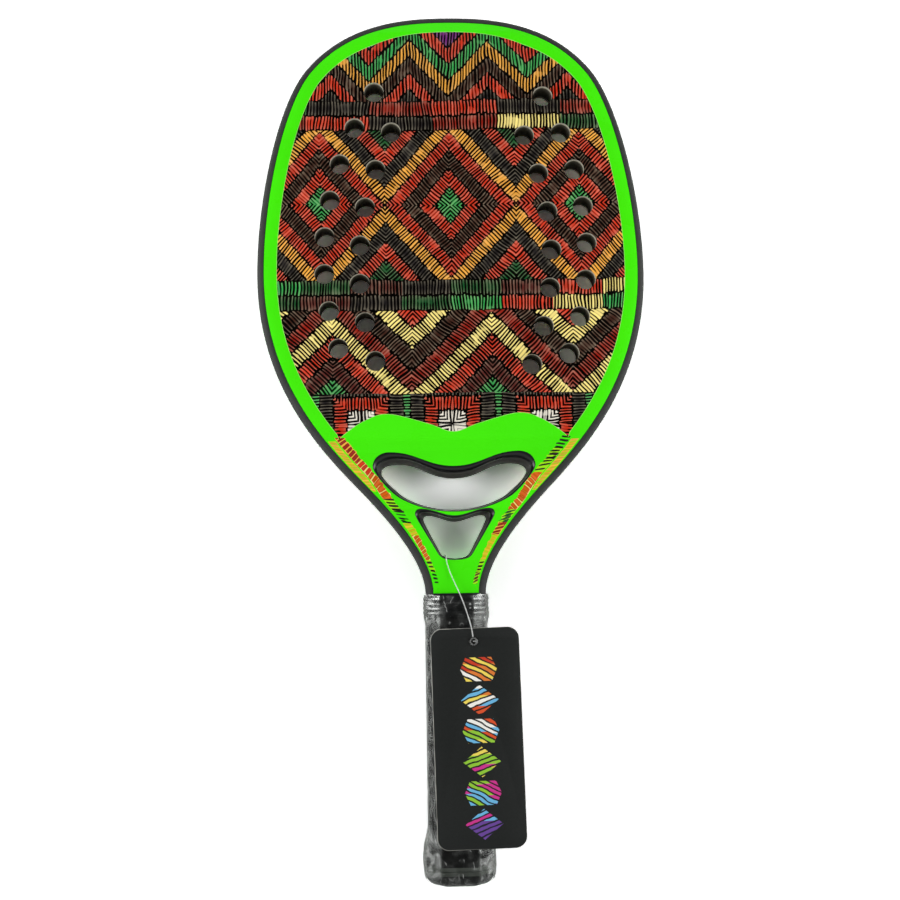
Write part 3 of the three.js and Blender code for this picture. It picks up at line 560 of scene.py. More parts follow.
# %% Outlines of the openings
UPPER_FACE = [
    (0, 235.14, 1, 0, 0, 15.78), (36.89, 243.38, 1, 0, 15.78, 5.57),
    (46.40, 235.22, 0, -1, 4.64, 3.25), (30.62, 216.80, -0.882, -0.471, 6.50, 4.64),
    (0, 209.12, -1, 0, 16.24, 0),
]
UPPER_WAIST = [
    (0, 228.51, 1, 0, 0, 14.85), (32.48, 236.84, 1, 0, 13.92, 4.64),
    (41.71, 232.20, 0, -1, 3.25, 2.78), (30.21, 219.21, -0.769, -0.639, 7.80, 3.71),
    (0, 210.60, -1, 0, 15.31, 0),
]
LOWER_FACE = [
    (0, 206.94, 1, 0, 0, 6.81), (19.07, 210.98, 1, 0, 6.81, 2.27),
    (22.70, 207.99, 0, -1, 2.04, 1.82), (10.21, 185.93, -0.491, -0.871, 7.94, 2.95),
    (0, 181.73, -1, 0, 6.81, 0),
]
LOWER_WAIST = [
    (0, 203.60, 1, 0, 0, 5.90), (15.44, 207.05, 1, 0, 5.90, 1.36),
    (17.84, 205.08, 0, -1, 1.36, 1.59), (8.81, 186.60, -0.451, -0.892, 7.26, 2.50),
    (0, 182.60, -1, 0, 5.90, 0),
]
OPENING_STEPS = 14


def opening(nodes):
    half = [spot for spot, _ in walk(nodes, OPENING_STEPS)]
    return [tuple(p) for p in half] + [(-x, y) for x, y in reversed(half[1:-1])]


upper_mouth, lower_mouth = opening(UPPER_FACE), opening(LOWER_FACE)

# %% [markdown]
# ## The printed faces
# A face is one sheet of printed composite, 1 mm thick. The green rim and throat, the stitched print
# and the pale line between them are made as three flat pieces that meet edge to edge, because a cut
# edge stays sharp from close by, where a mask painted in the material would blur.

# %% Face pieces, front and back
SHEET_LOW, SHEET_HIGH, SHEET_EDGE = 9.5, 10.5, 0.12
PRINT_GAP, LINE_OUTER, LINE_INNER, LINE_PROUD, LINE_EDGE = 0.03, -0.1, 0.2, 0.03, 0.05
FOOT_Y = 162.8
rim_side = [p for p in inset(EDGE_ROUND + SEAM) if p.y > FOOT_Y]
rim_loop = whole(rim_side + [Vector((rim_side[-1].x, FOOT_Y))])
print_loop = head_above_bow(PRINT_INSET)


def shrunk(loop, distance):
    """A loop drawn a distance further inside."""
    closer = []
    for before, spot, after in zip(loop[-1:] + loop[:-1], loop, loop[1:] + loop[:1]):
        way = (Vector(after) - Vector(before)).normalized()
        closer.append(tuple(Vector(spot) + Vector((way.y, -way.x)) * distance))
    return closer


SHEETS = {"front": (SHEET_LOW, SHEET_HIGH), "back": (-SHEET_HIGH, -SHEET_LOW)}
face_pieces = {}
for side, (low, high) in SHEETS.items():
    rim_loops = [rim_loop, print_loop, upper_mouth, lower_mouth]
    rim = flat_piece(f"{side}_rim", rim_loops, low, high, SHEET_EDGE)
    print_loops = [shrunk(print_loop, PRINT_GAP), *drilled]
    field = flat_piece(f"{side}_print", print_loops, low, high, SHEET_EDGE)
    # the pale line covers the seam and stands a hair above both
    proud = LINE_PROUD if side == "front" else -LINE_PROUD
    line_loops = [shrunk(print_loop, LINE_OUTER), shrunk(print_loop, LINE_INNER)]
    keyline = flat_piece(f"{side}_keyline", line_loops, low + proud, high + proud, LINE_EDGE)
    face_pieces[side] = (rim, field, keyline)
    for piece in face_pieces[side]:
        finish_piece(piece, "face_print", f"{side}_face", smooth=50)

# %% [markdown]
# ## The tube
# The tube's outer side is crowned: nearly square at the faces and full in the middle, as a moulding
# is. Its section is carried along the outline, ring after ring, and rings are joined by faces.


# %% Rings joined into a skin
def skin(name, rings, caps=False):
    """Joins rings with as many points each into one surface."""
    mesh = bpy.data.meshes.new(name)
    count = len(rings[0])
    points = [place(*p) for one in rings for p in one]
    faces = []
    for r in range(len(rings) - 1):
        for k in range(count):
            a, b = r * count + k, r * count + (k + 1) % count
            faces.append((a, b, b + count, a + count))
    if caps:
        faces.append(tuple(range(count))[::-1])
        faces.append(tuple(range((len(rings) - 1) * count, len(rings) * count)))
    mesh.from_pydata(points, [], faces)
    piece = put(name, mesh)
    mend(piece)
    print(name, len(mesh.polygons), "faces")
    return piece


CROWN_POWER = 2 / 2.7
CROWN_STEPS = 24
SEAT, TUBE_DEPTH = 9.2, 12.0


def tube_section():
    """Distance inside the outline and height from the middle, round the tube."""
    crown = []
    for k in range(CROWN_STEPS + 1):
        a = math.pi / 2 - math.pi * k / CROWN_STEPS
        out = abs(math.cos(a)) ** CROWN_POWER
        up = math.copysign(abs(math.sin(a)) ** CROWN_POWER, math.sin(a))
        crown.append((EDGE_ROUND * (1 - out), SHEET_HIGH * up))
    return crown + [(EDGE_ROUND, -SEAT), (TUBE_DEPTH, -SEAT), (TUBE_DEPTH, SEAT), (EDGE_ROUND, SEAT)]


tube_rings = []
tube_walk = walk(OUTLINE_NODES)
around = [(Vector((-s.x, s.y)), Vector((-n.x, n.y))) for s, n in tube_walk[:0:-1]] + tube_walk
for spot, inward in around:
    tube_rings.append([(*(spot + inward * depth), height) for depth, height in tube_section()])
frame_tube = skin("frame_tube", tube_rings, caps=True)
finish_piece(frame_tube, "frame", "frame_hoop")

# %% [markdown]
# Below the neck the tube's two ends run on as square legs inside the handle.


# %% Legs in the handle
LEG_WIDTH, LEG_LENGTH, LEG_DEPTH, LEG_ROUND = 9.1, 158, 15, 3.0
LEG_ASIDE, LEG_Y = 6.05, 83


def leg(name, side):
    size = (LEG_WIDTH * MM, LEG_LENGTH * MM, LEG_DEPTH * MM)
    bpy.ops.mesh.primitive_cube_add(size=1, location=place(side * LEG_ASIDE, LEG_Y, 0), scale=size)
    piece = settle(bpy.context.object, name)
    rounding = piece.modifiers.new("rounding", "BEVEL")
    rounding.width, rounding.segments = LEG_ROUND * MM, 4
    bpy.ops.object.modifier_apply(modifier="rounding")
    return finish_piece(piece, "frame", "frame_hoop")


legs = [leg("tube_leg_right", 1), leg("tube_leg_left", -1)]

# %% [markdown]
# The foam core shows only in the walls of the holes, so it has the same thirty holes as the sheets.

# %% Foam core
core_loop = head_above_bow(TUBE_DEPTH + SEAM)
CORE_EDGE = 0.05
foam_core = flat_piece("drilled_core", [core_loop, *drilled], -SEAT, SEAT, CORE_EDGE)
finish_piece(foam_core, "core_foam", "foam_core")

# %% [markdown]
# The wall of each opening is rounded: it starts flush with the faces and closes in on the waist.

# %% Walls of the openings
# height from the middle of the racket, and share of the way from the face outline to the waist
WALL_PROFILE = [
    (10.5, 0.0), (10.4, 0.08), (10.15, 0.18), (9.7, 0.28), (9.1, 0.37), (8.4, 0.45), (7.7, 0.51),
    (7.2, 0.545), (6.95, 0.53), (6.6, 0.53), (6.45, 0.59), (5.6, 0.7), (4.4, 0.82), (3.0, 0.92),
    (1.4, 0.98),
]
WALL_THICKNESS = 1.2


def opening_wall(name, face, waist, node):
    rings = []
    for height, share in WALL_PROFILE + [(0.0, 1.0)] + [(-h, s) for h, s in reversed(WALL_PROFILE)]:
        rings.append([(x0 + (x1 - x0) * share, y0 + (y1 - y0) * share, height)
                      for (x0, y0), (x1, y1) in zip(opening(face), opening(waist))])
    piece = skin(name, rings)
    # the surface has to face the opening, since its thickness grows away from it
    corners, sides = piece.data.vertices, piece.data.polygons
    side = sides[len(sides) // 2]
    centre = sum((v.co for v in corners), Vector()) / len(corners)
    if side.normal.dot((centre - side.center) * Vector((1, 1, 0))) < 0:
        piece.data.flip_normals()
    thicken(piece, WALL_THICKNESS, -1)
    return finish_piece(piece, "throat_wall", node)


upper_wall = opening_wall("upper_opening_wall", UPPER_FACE, UPPER_WAIST, "upper_bridge")
lower_wall = opening_wall("lower_opening_wall", LOWER_FACE, LOWER_WAIST, "lower_bridge")

# %% [markdown]
# ## The handle
# The handle is eight-sided. One section, grown outwards by a margin and with each corner rounded,
# gives every piece round it: the cap, the wrap, the collar and the film.

# %% The handle's section
HALF_WIDTH, HALF_THICK, FRONT_HALF, SIDE_HALF = 15.2, 12.9, 8.5, 5.5
CORNER, CORNER_STEPS = 1.2, 4
BEVEL = math.atan2(HALF_THICK - SIDE_HALF, HALF_WIDTH - FRONT_HALF)


def handle_section(margin):
    """Points round the handle, from its right side through the front."""
    corner_x = FRONT_HALF + margin * math.tan(BEVEL / 2)
    corner_z = SIDE_HALF + margin * math.tan((math.pi / 2 - BEVEL) / 2)
    quarter = [Vector((HALF_WIDTH + margin, corner_z)), Vector((corner_x, HALF_THICK + margin))]
    upper = quarter + [Vector((-p.x, p.y)) for p in reversed(quarter)]
    corners = upper + [-p for p in upper]
    points = []
    for k, corner in enumerate(corners):
        before, after = corners[k - 1], corners[(k + 1) % 8]
        a = corner + (before - corner).normalized() * CORNER
        b = corner + (after - corner).normalized() * CORNER
        for i in range(CORNER_STEPS + 1):
            t = i / CORNER_STEPS
            points.append(a * (1 - t) ** 2 + corner * 2 * t * (1 - t) + b * t * t)
        next_a = after + (corner - after).normalized() * CORNER
        points += [b.lerp(next_a, 1 / 3), b.lerp(next_a, 2 / 3)]
    return points


def handle_ring(y, margin):
    return [(p.x, y, p.y) for p in handle_section(margin)]


ROUND_HANDLE = len(handle_section(0))
# heights along the handle
CAP_LOW, CAP_FLOOR_Y, LIP_END, FLARE_END, SKIRT_END = 0.6, 3.6, 9.6, 19.6, 26.6
COLLAR_LOW, WRAP_HIGH, HANDLE_HIGH = 149.2, 154.2, 162.2
# margins outside the section, and the cap's round end
CAP_LIP, FLARE, CAP_WALL, CAP_ROUND = 3.9, 1.9, 1.0, 7.0
print("points round the handle:", ROUND_HANDLE)


def butt_rows(distance):
    """Heights and margins round the butt, at a distance outside the cap."""
    reach = CAP_ROUND + distance
    turns = [math.radians(a) for a in (90, 78, 66, 54, 42, 30, 20, 10, 0)]
    return [(CAP_LOW - distance + reach * (1 - math.sin(a)),
             CAP_LIP + distance - reach * (1 - math.cos(a))) for a in turns]


# %% [markdown]
# The cap is a moulded cup. Its end is rounded over, with a shallow round-cornered recess, a lip holds
# the end of the wrap, and its skirt lies under the wrap.

# %% Butt cap
recess = CAP_LIP - CAP_ROUND - 5
cap_rows = [
    (CAP_LOW + 0.8, recess - 0.5), (CAP_LOW + 0.6, recess - 0.1), (CAP_LOW + 0.1, recess),
    (CAP_LOW, recess + 0.4), *butt_rows(0), (LIP_END - 0.5, CAP_LIP), (LIP_END - 0.1, CAP_LIP - 0.2),
    (LIP_END, CAP_LIP - 0.6), (LIP_END + 0.2, FLARE), (FLARE_END, FLARE), (SKIRT_END - CAP_WALL, 0.0),
    (SKIRT_END, -0.1), (SKIRT_END, -CAP_WALL), (CAP_FLOOR_Y, -CAP_WALL),
]
end_cap = skin("end_cap", [handle_ring(*row) for row in cap_rows], caps=True)
finish_piece(end_cap, "cap", "butt_cap", smooth=35)

# %% [markdown]
# The wrap is one strip wound up the handle. Each turn lies with its lower edge on the turn before, so
# the surface is a helical staircase with soft steps. A section across the strip is carried along the
# winding, and the ends are then cut straight with bisect.

# %% Grip wrap
PITCH = 20.8
# share of the pitch across the strip, outer margin, inner margin
STRIP = [
    (0.000, 1.35, 1.15), (0.004, 1.62, 1.14), (0.012, 1.84, 1.13), (0.026, 1.96, 1.12),
    (0.050, 2.00, 1.11), (0.110, 1.99, 1.10), (0.220, 1.90, 0.34), (0.420, 1.80, 0.34),
    (0.620, 1.70, 0.34), (0.820, 1.60, 0.34), (0.960, 1.52, 0.34), (1.020, 1.08, 0.34),
    (1.080, 1.02, 0.40),
]
# under the collar the strip is pressed thin
PRESSED_FROM, PRESSED_WITHIN, PRESSED_SHARE, PRESSED_REST = 146.5, 2.6, 0.43, 0.13


def under_wrap(y):
    slope_end = SKIRT_END - CAP_WALL
    return FLARE * clipped((slope_end - y) / (slope_end - FLARE_END))


def thinned(margin, y):
    pressed = margin * PRESSED_SHARE + PRESSED_REST
    return margin + (pressed - margin) * eased((y - PRESSED_FROM) / PRESSED_WITHIN)


start_y = LIP_END - PITCH * 1.3
strip_steps = math.ceil(((WRAP_HIGH - start_y) / PITCH + 1) * ROUND_HANDLE)
strip_rings = []
for step in range(strip_steps + 1):
    one = []
    for outer, order in ((True, STRIP), (False, STRIP[::-1])):
        for share, high, low in order:
            y = start_y + PITCH * (step / ROUND_HANDLE + share)
            margin = thinned(high if outer else low, y) + under_wrap(y)
            p = handle_section(margin)[step % ROUND_HANDLE]
            one.append((p.x, y, p.y))
    strip_rings.append(one)
wound_grip = skin("wound_grip", strip_rings, caps=True)
take(wound_grip)
bpy.ops.object.mode_set(mode="EDIT")
for y, way in ((LIP_END + SEAM, -1), (WRAP_HIGH, 1)):
    bpy.ops.mesh.select_all(action="SELECT")
    cut = {"plane_co": place(0, y, 0), "plane_no": (0, way, 0)}
    bpy.ops.mesh.bisect(**cut, use_fill=True, clear_outer=True)
bpy.ops.object.mode_set(mode="OBJECT")
finish_piece(wound_grip, "wrap", "grip_wrap", smooth=60)

# %% [markdown]
# The rubber collar grips the wrap's upper end. Its four ribs are rounded, as moulded rubber is, and
# its upper lip closes against the foot of the green rim.

# %% Collar
COLLAR_BASE, COLLAR_WALL, COLLAR_BORE = 1.8, 0.5, 0.31
COLLAR_END = HANDLE_HIGH + 0.8
RIBS, RIB_PITCH = 4, 2.6
# distance from the rib's middle, and height
RIB = [(-0.95, 0), (-0.7, 0.18), (-0.35, 0.29), (0, 0.32), (0.35, 0.29), (0.7, 0.18), (0.95, 0)]
collar_rows = [
    (COLLAR_LOW + 0.25, COLLAR_BASE - COLLAR_WALL), (COLLAR_LOW, COLLAR_BASE - 0.25),
    (COLLAR_LOW + 0.2, COLLAR_BASE),
    *((COLLAR_LOW + RIB_PITCH * k + shift, COLLAR_BASE + rise)
      for k in range(1, RIBS + 1) for shift, rise in RIB),
    (COLLAR_END - 0.3, COLLAR_BASE), (COLLAR_END, COLLAR_BASE - 0.3), (COLLAR_END, COLLAR_BORE),
    (WRAP_HIGH + 0.3, COLLAR_BORE), (WRAP_HIGH + 0.3, COLLAR_BASE - COLLAR_WALL),
]
collar_rings = [handle_ring(*row) for row in collar_rows]
ribbed_collar = skin("ribbed_collar", collar_rings + collar_rings[:1])
mend(ribbed_collar, 0.01 * MM)
finish_piece(ribbed_collar, "collar", "grip_collar", smooth=60)

# %% [markdown]
# ## The clear film
# The film was shrunk over the whole handle. It lies tight on the flats, bridges the step at the cap
# and follows the collar's ribs. It stands off a little at the butt and the collar, where it is
# creased too, and its upper edge is cut unevenly. A dense tube is drawn round the handle and its
# points are moved by noise, in and out, as far as there is room under the film's solid.

# %% Film
from mathutils import noise

noise.seed_set(7)
FILM_WALL = 0.12
FILM_LOOSE, FILM_TIGHT = 4.35, 2.42
# distance outside the cap, then the lowest row beside the wrap, the rows' steps, and where these
# turn fine
FILM_GAP, FILM_SIDE_LOW, ROW_STEP, FINE_STEP, FINE_FROM = 0.45, 9.0, 0.9, 0.4, 146
RAGGED_FROM = HANDLE_HIGH - 1.5
MOST_INWARDS, MOST_OUTWARDS = -0.16, 0.42


def slack(y):
    """How far the film stands off at the sides, on top of its margin."""
    closing = clipped(y / 11) * min(1.0, max(0.3, (HANDLE_HIGH + 1 - y) / 3))
    return 0.85 * (eased((36 - y) / 22) + eased((y - 144) / 7)) * closing


def film_rows():
    rows = [(0.16, CAP_LIP - CAP_ROUND - 4), (0.12, CAP_LIP - CAP_ROUND - 2), *butt_rows(FILM_GAP)]
    y = FILM_SIDE_LOW
    while y < HANDLE_HIGH + 0.9:
        rows.append((y, FILM_LOOSE + (FILM_TIGHT - FILM_LOOSE) * eased((y - FLARE_END) / 12)))
        y += ROW_STEP if y < FINE_FROM else FINE_STEP
    return rows


film_rings = []
for y, margin in film_rows():
    one = []
    for x, _, z in handle_ring(y, margin):
        out = Vector((x, z)).normalized()
        side = clipped((abs(x) - FRONT_HALF) / 4)
        long_fold = noise.noise(Vector((x * 0.16, y * 0.022, z * 0.16)))
        cross_fold = noise.noise(Vector((x * 0.05 + 9, y * 0.42 + 3, z * 0.05 + 1)))
        crinkle = noise.fractal(Vector((x, y, z)) * 0.28, 0.8, 2.1, 3)
        folded = 0.05 + 0.16 * clipped((y - 146) / 8) + 0.1 * clipped((14 - y) / 8)
        move = 0.1 * long_fold + folded * cross_fold + 0.045 * crinkle
        if COLLAR_LOW < y < HANDLE_HIGH - 1.6:
            move += 0.16 * math.cos((y - COLLAR_LOW) / RIB_PITCH * math.tau)
        move = max(MOST_INWARDS, min(MOST_OUTWARDS, move + 0.03))
        ragged = 0.0
        if y > RAGGED_FROM:
            near_edge = (y - RAGGED_FROM) / 2.4
            ragged = 1.1 * noise.noise(Vector((x * 0.5, 0, z * 0.5))) - 0.8 if side > 0.5 else -1.2
            ragged *= near_edge
            move += 0.2 * side * near_edge
        uneven = 1 + 0.5 * noise.noise(Vector((x, y * 0.16, z * 0.1)))
        stand = slack(y) * uneven / (HALF_WIDTH + margin)
        one.append((x * (1 + stand) + out.x * move, y + ragged, z + out.y * move))
    film_rings.append(one)
shrunk_film = skin("shrunk_film", film_rings)
thicken(shrunk_film, FILM_WALL, 0)
finish_piece(shrunk_film, "clear_film", "clear_sleeve", smooth=70)

# %% [markdown]
# ## The tag
# The tag is a stiff card with round corners, punched near its top. It hangs beside the handle's
# middle, turned by about one degree, and moves with its own body.

# %% Tag
TAG_HOLE, TAG_HOLE_RADIUS = (9.1, 136.1), 2.5
TAG_TURN = math.radians(1.3)
CARD_WIDTH, CARD_HEIGHT, CARD_CORNER, CARD_STEPS = 49.7, 121.6, 6.5, 10
# the hole lies off the card's middle line and below its top edge
CARD_ASIDE, CARD_TOP = 0.7, 7.5
CARD_LOW, CARD_HIGH = 17.7, 18.3


def card_outline():
    """The card with its round corners, drawn round its hole and then turned."""
    half_width, half_height = CARD_WIDTH / 2 - CARD_CORNER, CARD_HEIGHT / 2 - CARD_CORNER
    loop = []
    for quarter, (sx, sy) in enumerate(((1, 1), (-1, 1), (-1, -1), (1, -1))):
        for k in range(CARD_STEPS + 1):
            a = math.pi / 2 * (quarter + k / CARD_STEPS)
            x = CARD_ASIDE + sx * half_width + CARD_CORNER * math.cos(a)
            y = CARD_TOP - CARD_HEIGHT / 2 + sy * half_height + CARD_CORNER * math.sin(a)
            x, y = turned(x, y, TAG_TURN)
            loop.append((TAG_HOLE[0] + x, TAG_HOLE[1] + y))
    return loop


card_loops = [card_outline(), ring(TAG_HOLE, TAG_HOLE_RADIUS, 32)]
card = flat_piece("card_tag", card_loops, CARD_LOW, CARD_HIGH, 0.12)
finish_piece(card, "tag_card", "hang_tag", body="tag", smooth=50)

# %% [markdown]
# A small clear ring of moulded plastic locks both ends of the strand in front of the tag's hole.

# %% Lock ring
LOCK_Z, LOCK_RADIUS, LOCK_THICKNESS = 19.3, 1.8, 0.72
bpy.ops.mesh.primitive_torus_add(
    location=place(*TAG_HOLE, LOCK_Z), major_radius=LOCK_RADIUS * MM,
    minor_radius=LOCK_THICKNESS / 2 * MM, major_segments=36, minor_segments=14)
lock_ring = settle(bpy.context.object, "lock_ring")
finish_piece(lock_ring, "clear_strand", "loop_lock")
print("lock ring:", len(lock_ring.data.polygons), "faces")

# %% [markdown]
# ## Finishes
# The print shows rows of straight stitches on black. Every motif is reduced to three things at each
# point: how far along its row the point is, how far across, and the row's colour. Then one set of
# nodes draws the stitches: a thread with a light line down its middle, ends that don't quite line up,
# and black between them.

# %% Thread colours
BLACK_CLOTH, BLACK, COAL, WHITE_THREAD = map(paint, ("040302", "0b0b0a", "1f1c1d", "e9e4d6"))
RED, DEEP_RED, MAROON, BROWN = map(paint, ("c62f17", "8e1d12", "54231f", "3a2018"))
ORANGE, APRICOT, BURNT, YELLOW = map(paint, ("e5a03a", "f0b04a", "cf5a0e", "efdb80"))
GREEN, DARK_GREEN, LIME, PALE_LIME = map(paint, ("2f9a4b", "165028", "46f00e", "a4ec20"))
MUSTARD, PURPLE = map(paint, ("d3b81c", "6d1d74"))
print("thread: red", [round(share, 3) for share in RED])


# %% Stitches
def stitched(f, along, across, mark, thread, pitch=1.85, plump=0.49, pale=1.0):
    """Thread colour over the cloth, and where there is thread, for rows of stitches."""
    lean = f.noise(14.0, 1.0) - 0.5
    count = along / pitch + lean * (across - 0.5) * 2.0 + f.noise(22.0, 1.0) * 2.4
    first, second, third = f.parts(f.dice(count.whole(), mark, "Color"))
    bunch = f.noise(9.0, 1.0).ramp(0.6, 0.68, 0.0, 0.42)
    side = abs(count.rest() - 0.42 - third * 0.16) * 2.0
    end = abs(across + (second - 0.5) * 0.13 - 0.5) * 2.0
    width = plump + (first - 0.5) * 0.34 + bunch - (end ** 7.0) * 0.4
    reach = 0.83 + third * 0.13
    cover = side.ramp(width - 0.1, width + 0.1, 1.0, 0.0)
    cover *= end.ramp(reach - 0.03, reach + 0.03, 1.0, 0.0)
    core = (side / width).ramp(0.1, 0.9, 1.0, 0.0)
    tips = (end ** 2.0) * 0.12
    shaded = f.tint(thread, 0.72 + first * 0.26 + core * 0.3 * (0.4 + second))
    return f.blend(shaded, "efe2c2", (core * third * 0.14 + tips) * pale), cover


def in_row(value, low, high):
    return value.over(low) * value.under(high)


def to_and_fro(value, width, start=0.5):
    """Distance from the nearest of several lines that lie a width apart."""
    return abs((value / width + start).rest() - 0.5) * width


# %% [markdown]
# From the crown down, the print has a zigzag of chevrons, nested diamonds between two plain bands, a
# herringbone, and nested squares along the bow. A slow noise warps them all a little, so that their
# rows don't look ruled.


# %% Print
BAND_ROW = 9.0


def print_motifs(f):
    """Rows, places across rows and thread colours of the whole print."""
    def vectors(operation, a, b):
        return f.node("ShaderNodeVectorMath", {"operation": operation}, [a, b])

    wobble = vectors("SUBTRACT", f.noise(42.0, 2.0, output="Color"), (0.5, 0.5, 0.5))
    warped = vectors("ADD", f.spot(), vectors("MULTIPLY", wobble, (4.0, 4.0, 0.0)))
    x, y, _ = f.parts(warped)
    motifs = []

    def motif(low, high, along, row, colours, share=None):
        """Between two heights: the place along a row, the row's number, and its thread."""
        share = share or (row.whole() + 0.5) / len(colours)
        motifs.append((low, high, along, row.rest(), row.whole(), f.bands(share.rest(), colours)))

    # crown: a zigzag of tall chevrons
    motif(449, 520, x, (y - to_and_fro(x, 46.0) * 1.05) / 9.6,
          [RED, BROWN, ORANGE, GREEN, RED, PURPLE, YELLOW, DEEP_RED, COAL])
    # under it and below the diamonds, two plain bands in long blocks
    blocks = [
        (431, (x / 37.0 + 0.25).whole() * 0.31, 0.43, [DEEP_RED, YELLOW, RED, DARK_GREEN, COAL, RED]),
        (325, (x / 29.0).whole() * 0.37, 0.61, [GREEN, COAL, RED, DARK_GREEN, YELLOW, MAROON]),
    ]
    for low, block, step, colours in blocks:
        row = (y - low) / BAND_ROW
        motif(low, low + 2 * BAND_ROW, x, row, colours, block + row.whole() * step + 100.0)
    # upper middle: large nested diamonds
    dx, dy = abs(((x - 37.5) / 75.0).rest() * 75.0 - 37.5), abs(y - 387.0)
    motif(343, 431, (dx - dy) * 0.74, (dx + dy * 0.86) / 9.3,
          [GREEN, RED, BROWN, RED, ORANGE, COAL, RED, DARK_GREEN, MAROON, RED])
    # lower middle: herringbone of slanting bars
    bar = to_and_fro(x, 92.0, 0.25)
    motif(277, 325, (bar - y) * 0.707, (bar + y) * 0.707 / 8.8,
          [RED, YELLOW, DEEP_RED, BROWN, YELLOW, RED, GREEN, MAROON])
    # bow: steps of nested squares
    sx, sy = to_and_fro(x, 52.0), abs(y - 259.0)
    motif(200, 277, sx.smaller(sy) + y * 0.02, sx.larger(sy) / 8.0,
          [WHITE_THREAD, RED, COAL, GREEN, RED, ORANGE])

    along, across, mark, thread = motifs[0][2:]
    for low, high, a, c, m, t in motifs[1:]:
        here = in_row(y, low, high)
        along, across, mark = along.towards(a, here), across.towards(c, here), mark.towards(m, here)
        thread = f.blend(thread, t, here)
    return along, across, mark, thread


CUT_FROM, CUT_TO = SHEET_HIGH - 0.16, SHEET_HIGH - 0.1


def print_finish():
    f = Finish("stitched_print", Specular_IOR_Level=0.04)
    shaded, cover = stitched(f, *print_motifs(f))
    cloth = f.tint(BLACK_CLOTH, f.drift(3.0, 0.6, 1.5))
    # the sheet's cut edge is pale, and made paler still as a painted highlight where light catches
    # the hole rims
    cut = abs(f.parts()[2]).ramp(CUT_FROM, CUT_TO, 1.0, 0.0)
    colour = f.blend(f.blend(cloth, shaded, cover), "c4c0b2", cut)
    bump = f.bump(f.noise(0.7, 2.0), 0.02, 0.25)
    return f.join(Base_Color=colour, Roughness=f.drift(9.0, 0.24, 0.34, 5.0, 0.7), Normal=bump)


# %% [markdown]
# The green rim is the sheet's lacquer. On the two arms beside the throat, stitches of the same thread
# lie in a strip along the edge. The strip follows the outline, so the outline's half width at each
# height goes into a curve node, and the distance to it tells how far in a point is. The strip changes
# its thread in blocks, another row of blocks on each arm.

# %% Green rim
# each block of the strip, from the top down: thread, ground under it, lean and thickness of a stitch
RIGHT_ARM = [
    (BLACK, LIME, 0.5, 0.55), (BLACK, PALE_LIME, 0.5, 0.55), (BLACK, PALE_LIME, 0.6, 0.5),
    (BURNT, YELLOW, 0.1, 0.95), (BURNT, YELLOW, 0.1, 0.95), (BURNT, YELLOW, 0.1, 0.95),
    (DARK_GREEN, PALE_LIME, 0.9, 0.6), (DEEP_RED, APRICOT, 0.8, 0.8), (MUSTARD, PALE_LIME, 0.4, 0.75),
    (MUSTARD, PALE_LIME, 0.4, 0.75), (BLACK, PALE_LIME, 0.6, 0.5), (MAROON, PALE_LIME, 0.9, 0.6),
]
LEFT_ARM = [
    (DEEP_RED, APRICOT, 0.1, 0.7), (DEEP_RED, APRICOT, 0.1, 0.7), (RED, YELLOW, 0.1, 0.8),
    (BURNT, YELLOW, 0.1, 0.95), (BURNT, YELLOW, 0.1, 0.95), (BLACK, PALE_LIME, 0.5, 0.55),
    (BLACK, LIME, 0.6, 0.5), (MUSTARD, PALE_LIME, 0.3, 0.7), (BURNT, YELLOW, 0.1, 0.9),
    (BURNT, YELLOW, 0.1, 0.95), (BLACK, PALE_LIME, 0.5, 0.5), (BLACK, LIME, 0.5, 0.5),
]
ARM_TOP, ARM_LENGTH = 252.0, 84.0
ARM_FOOT_X, ARM_FOOT_Y = OUTLINE_NODES[-1][:2]
ARM_CURVE_TOP = 270.0


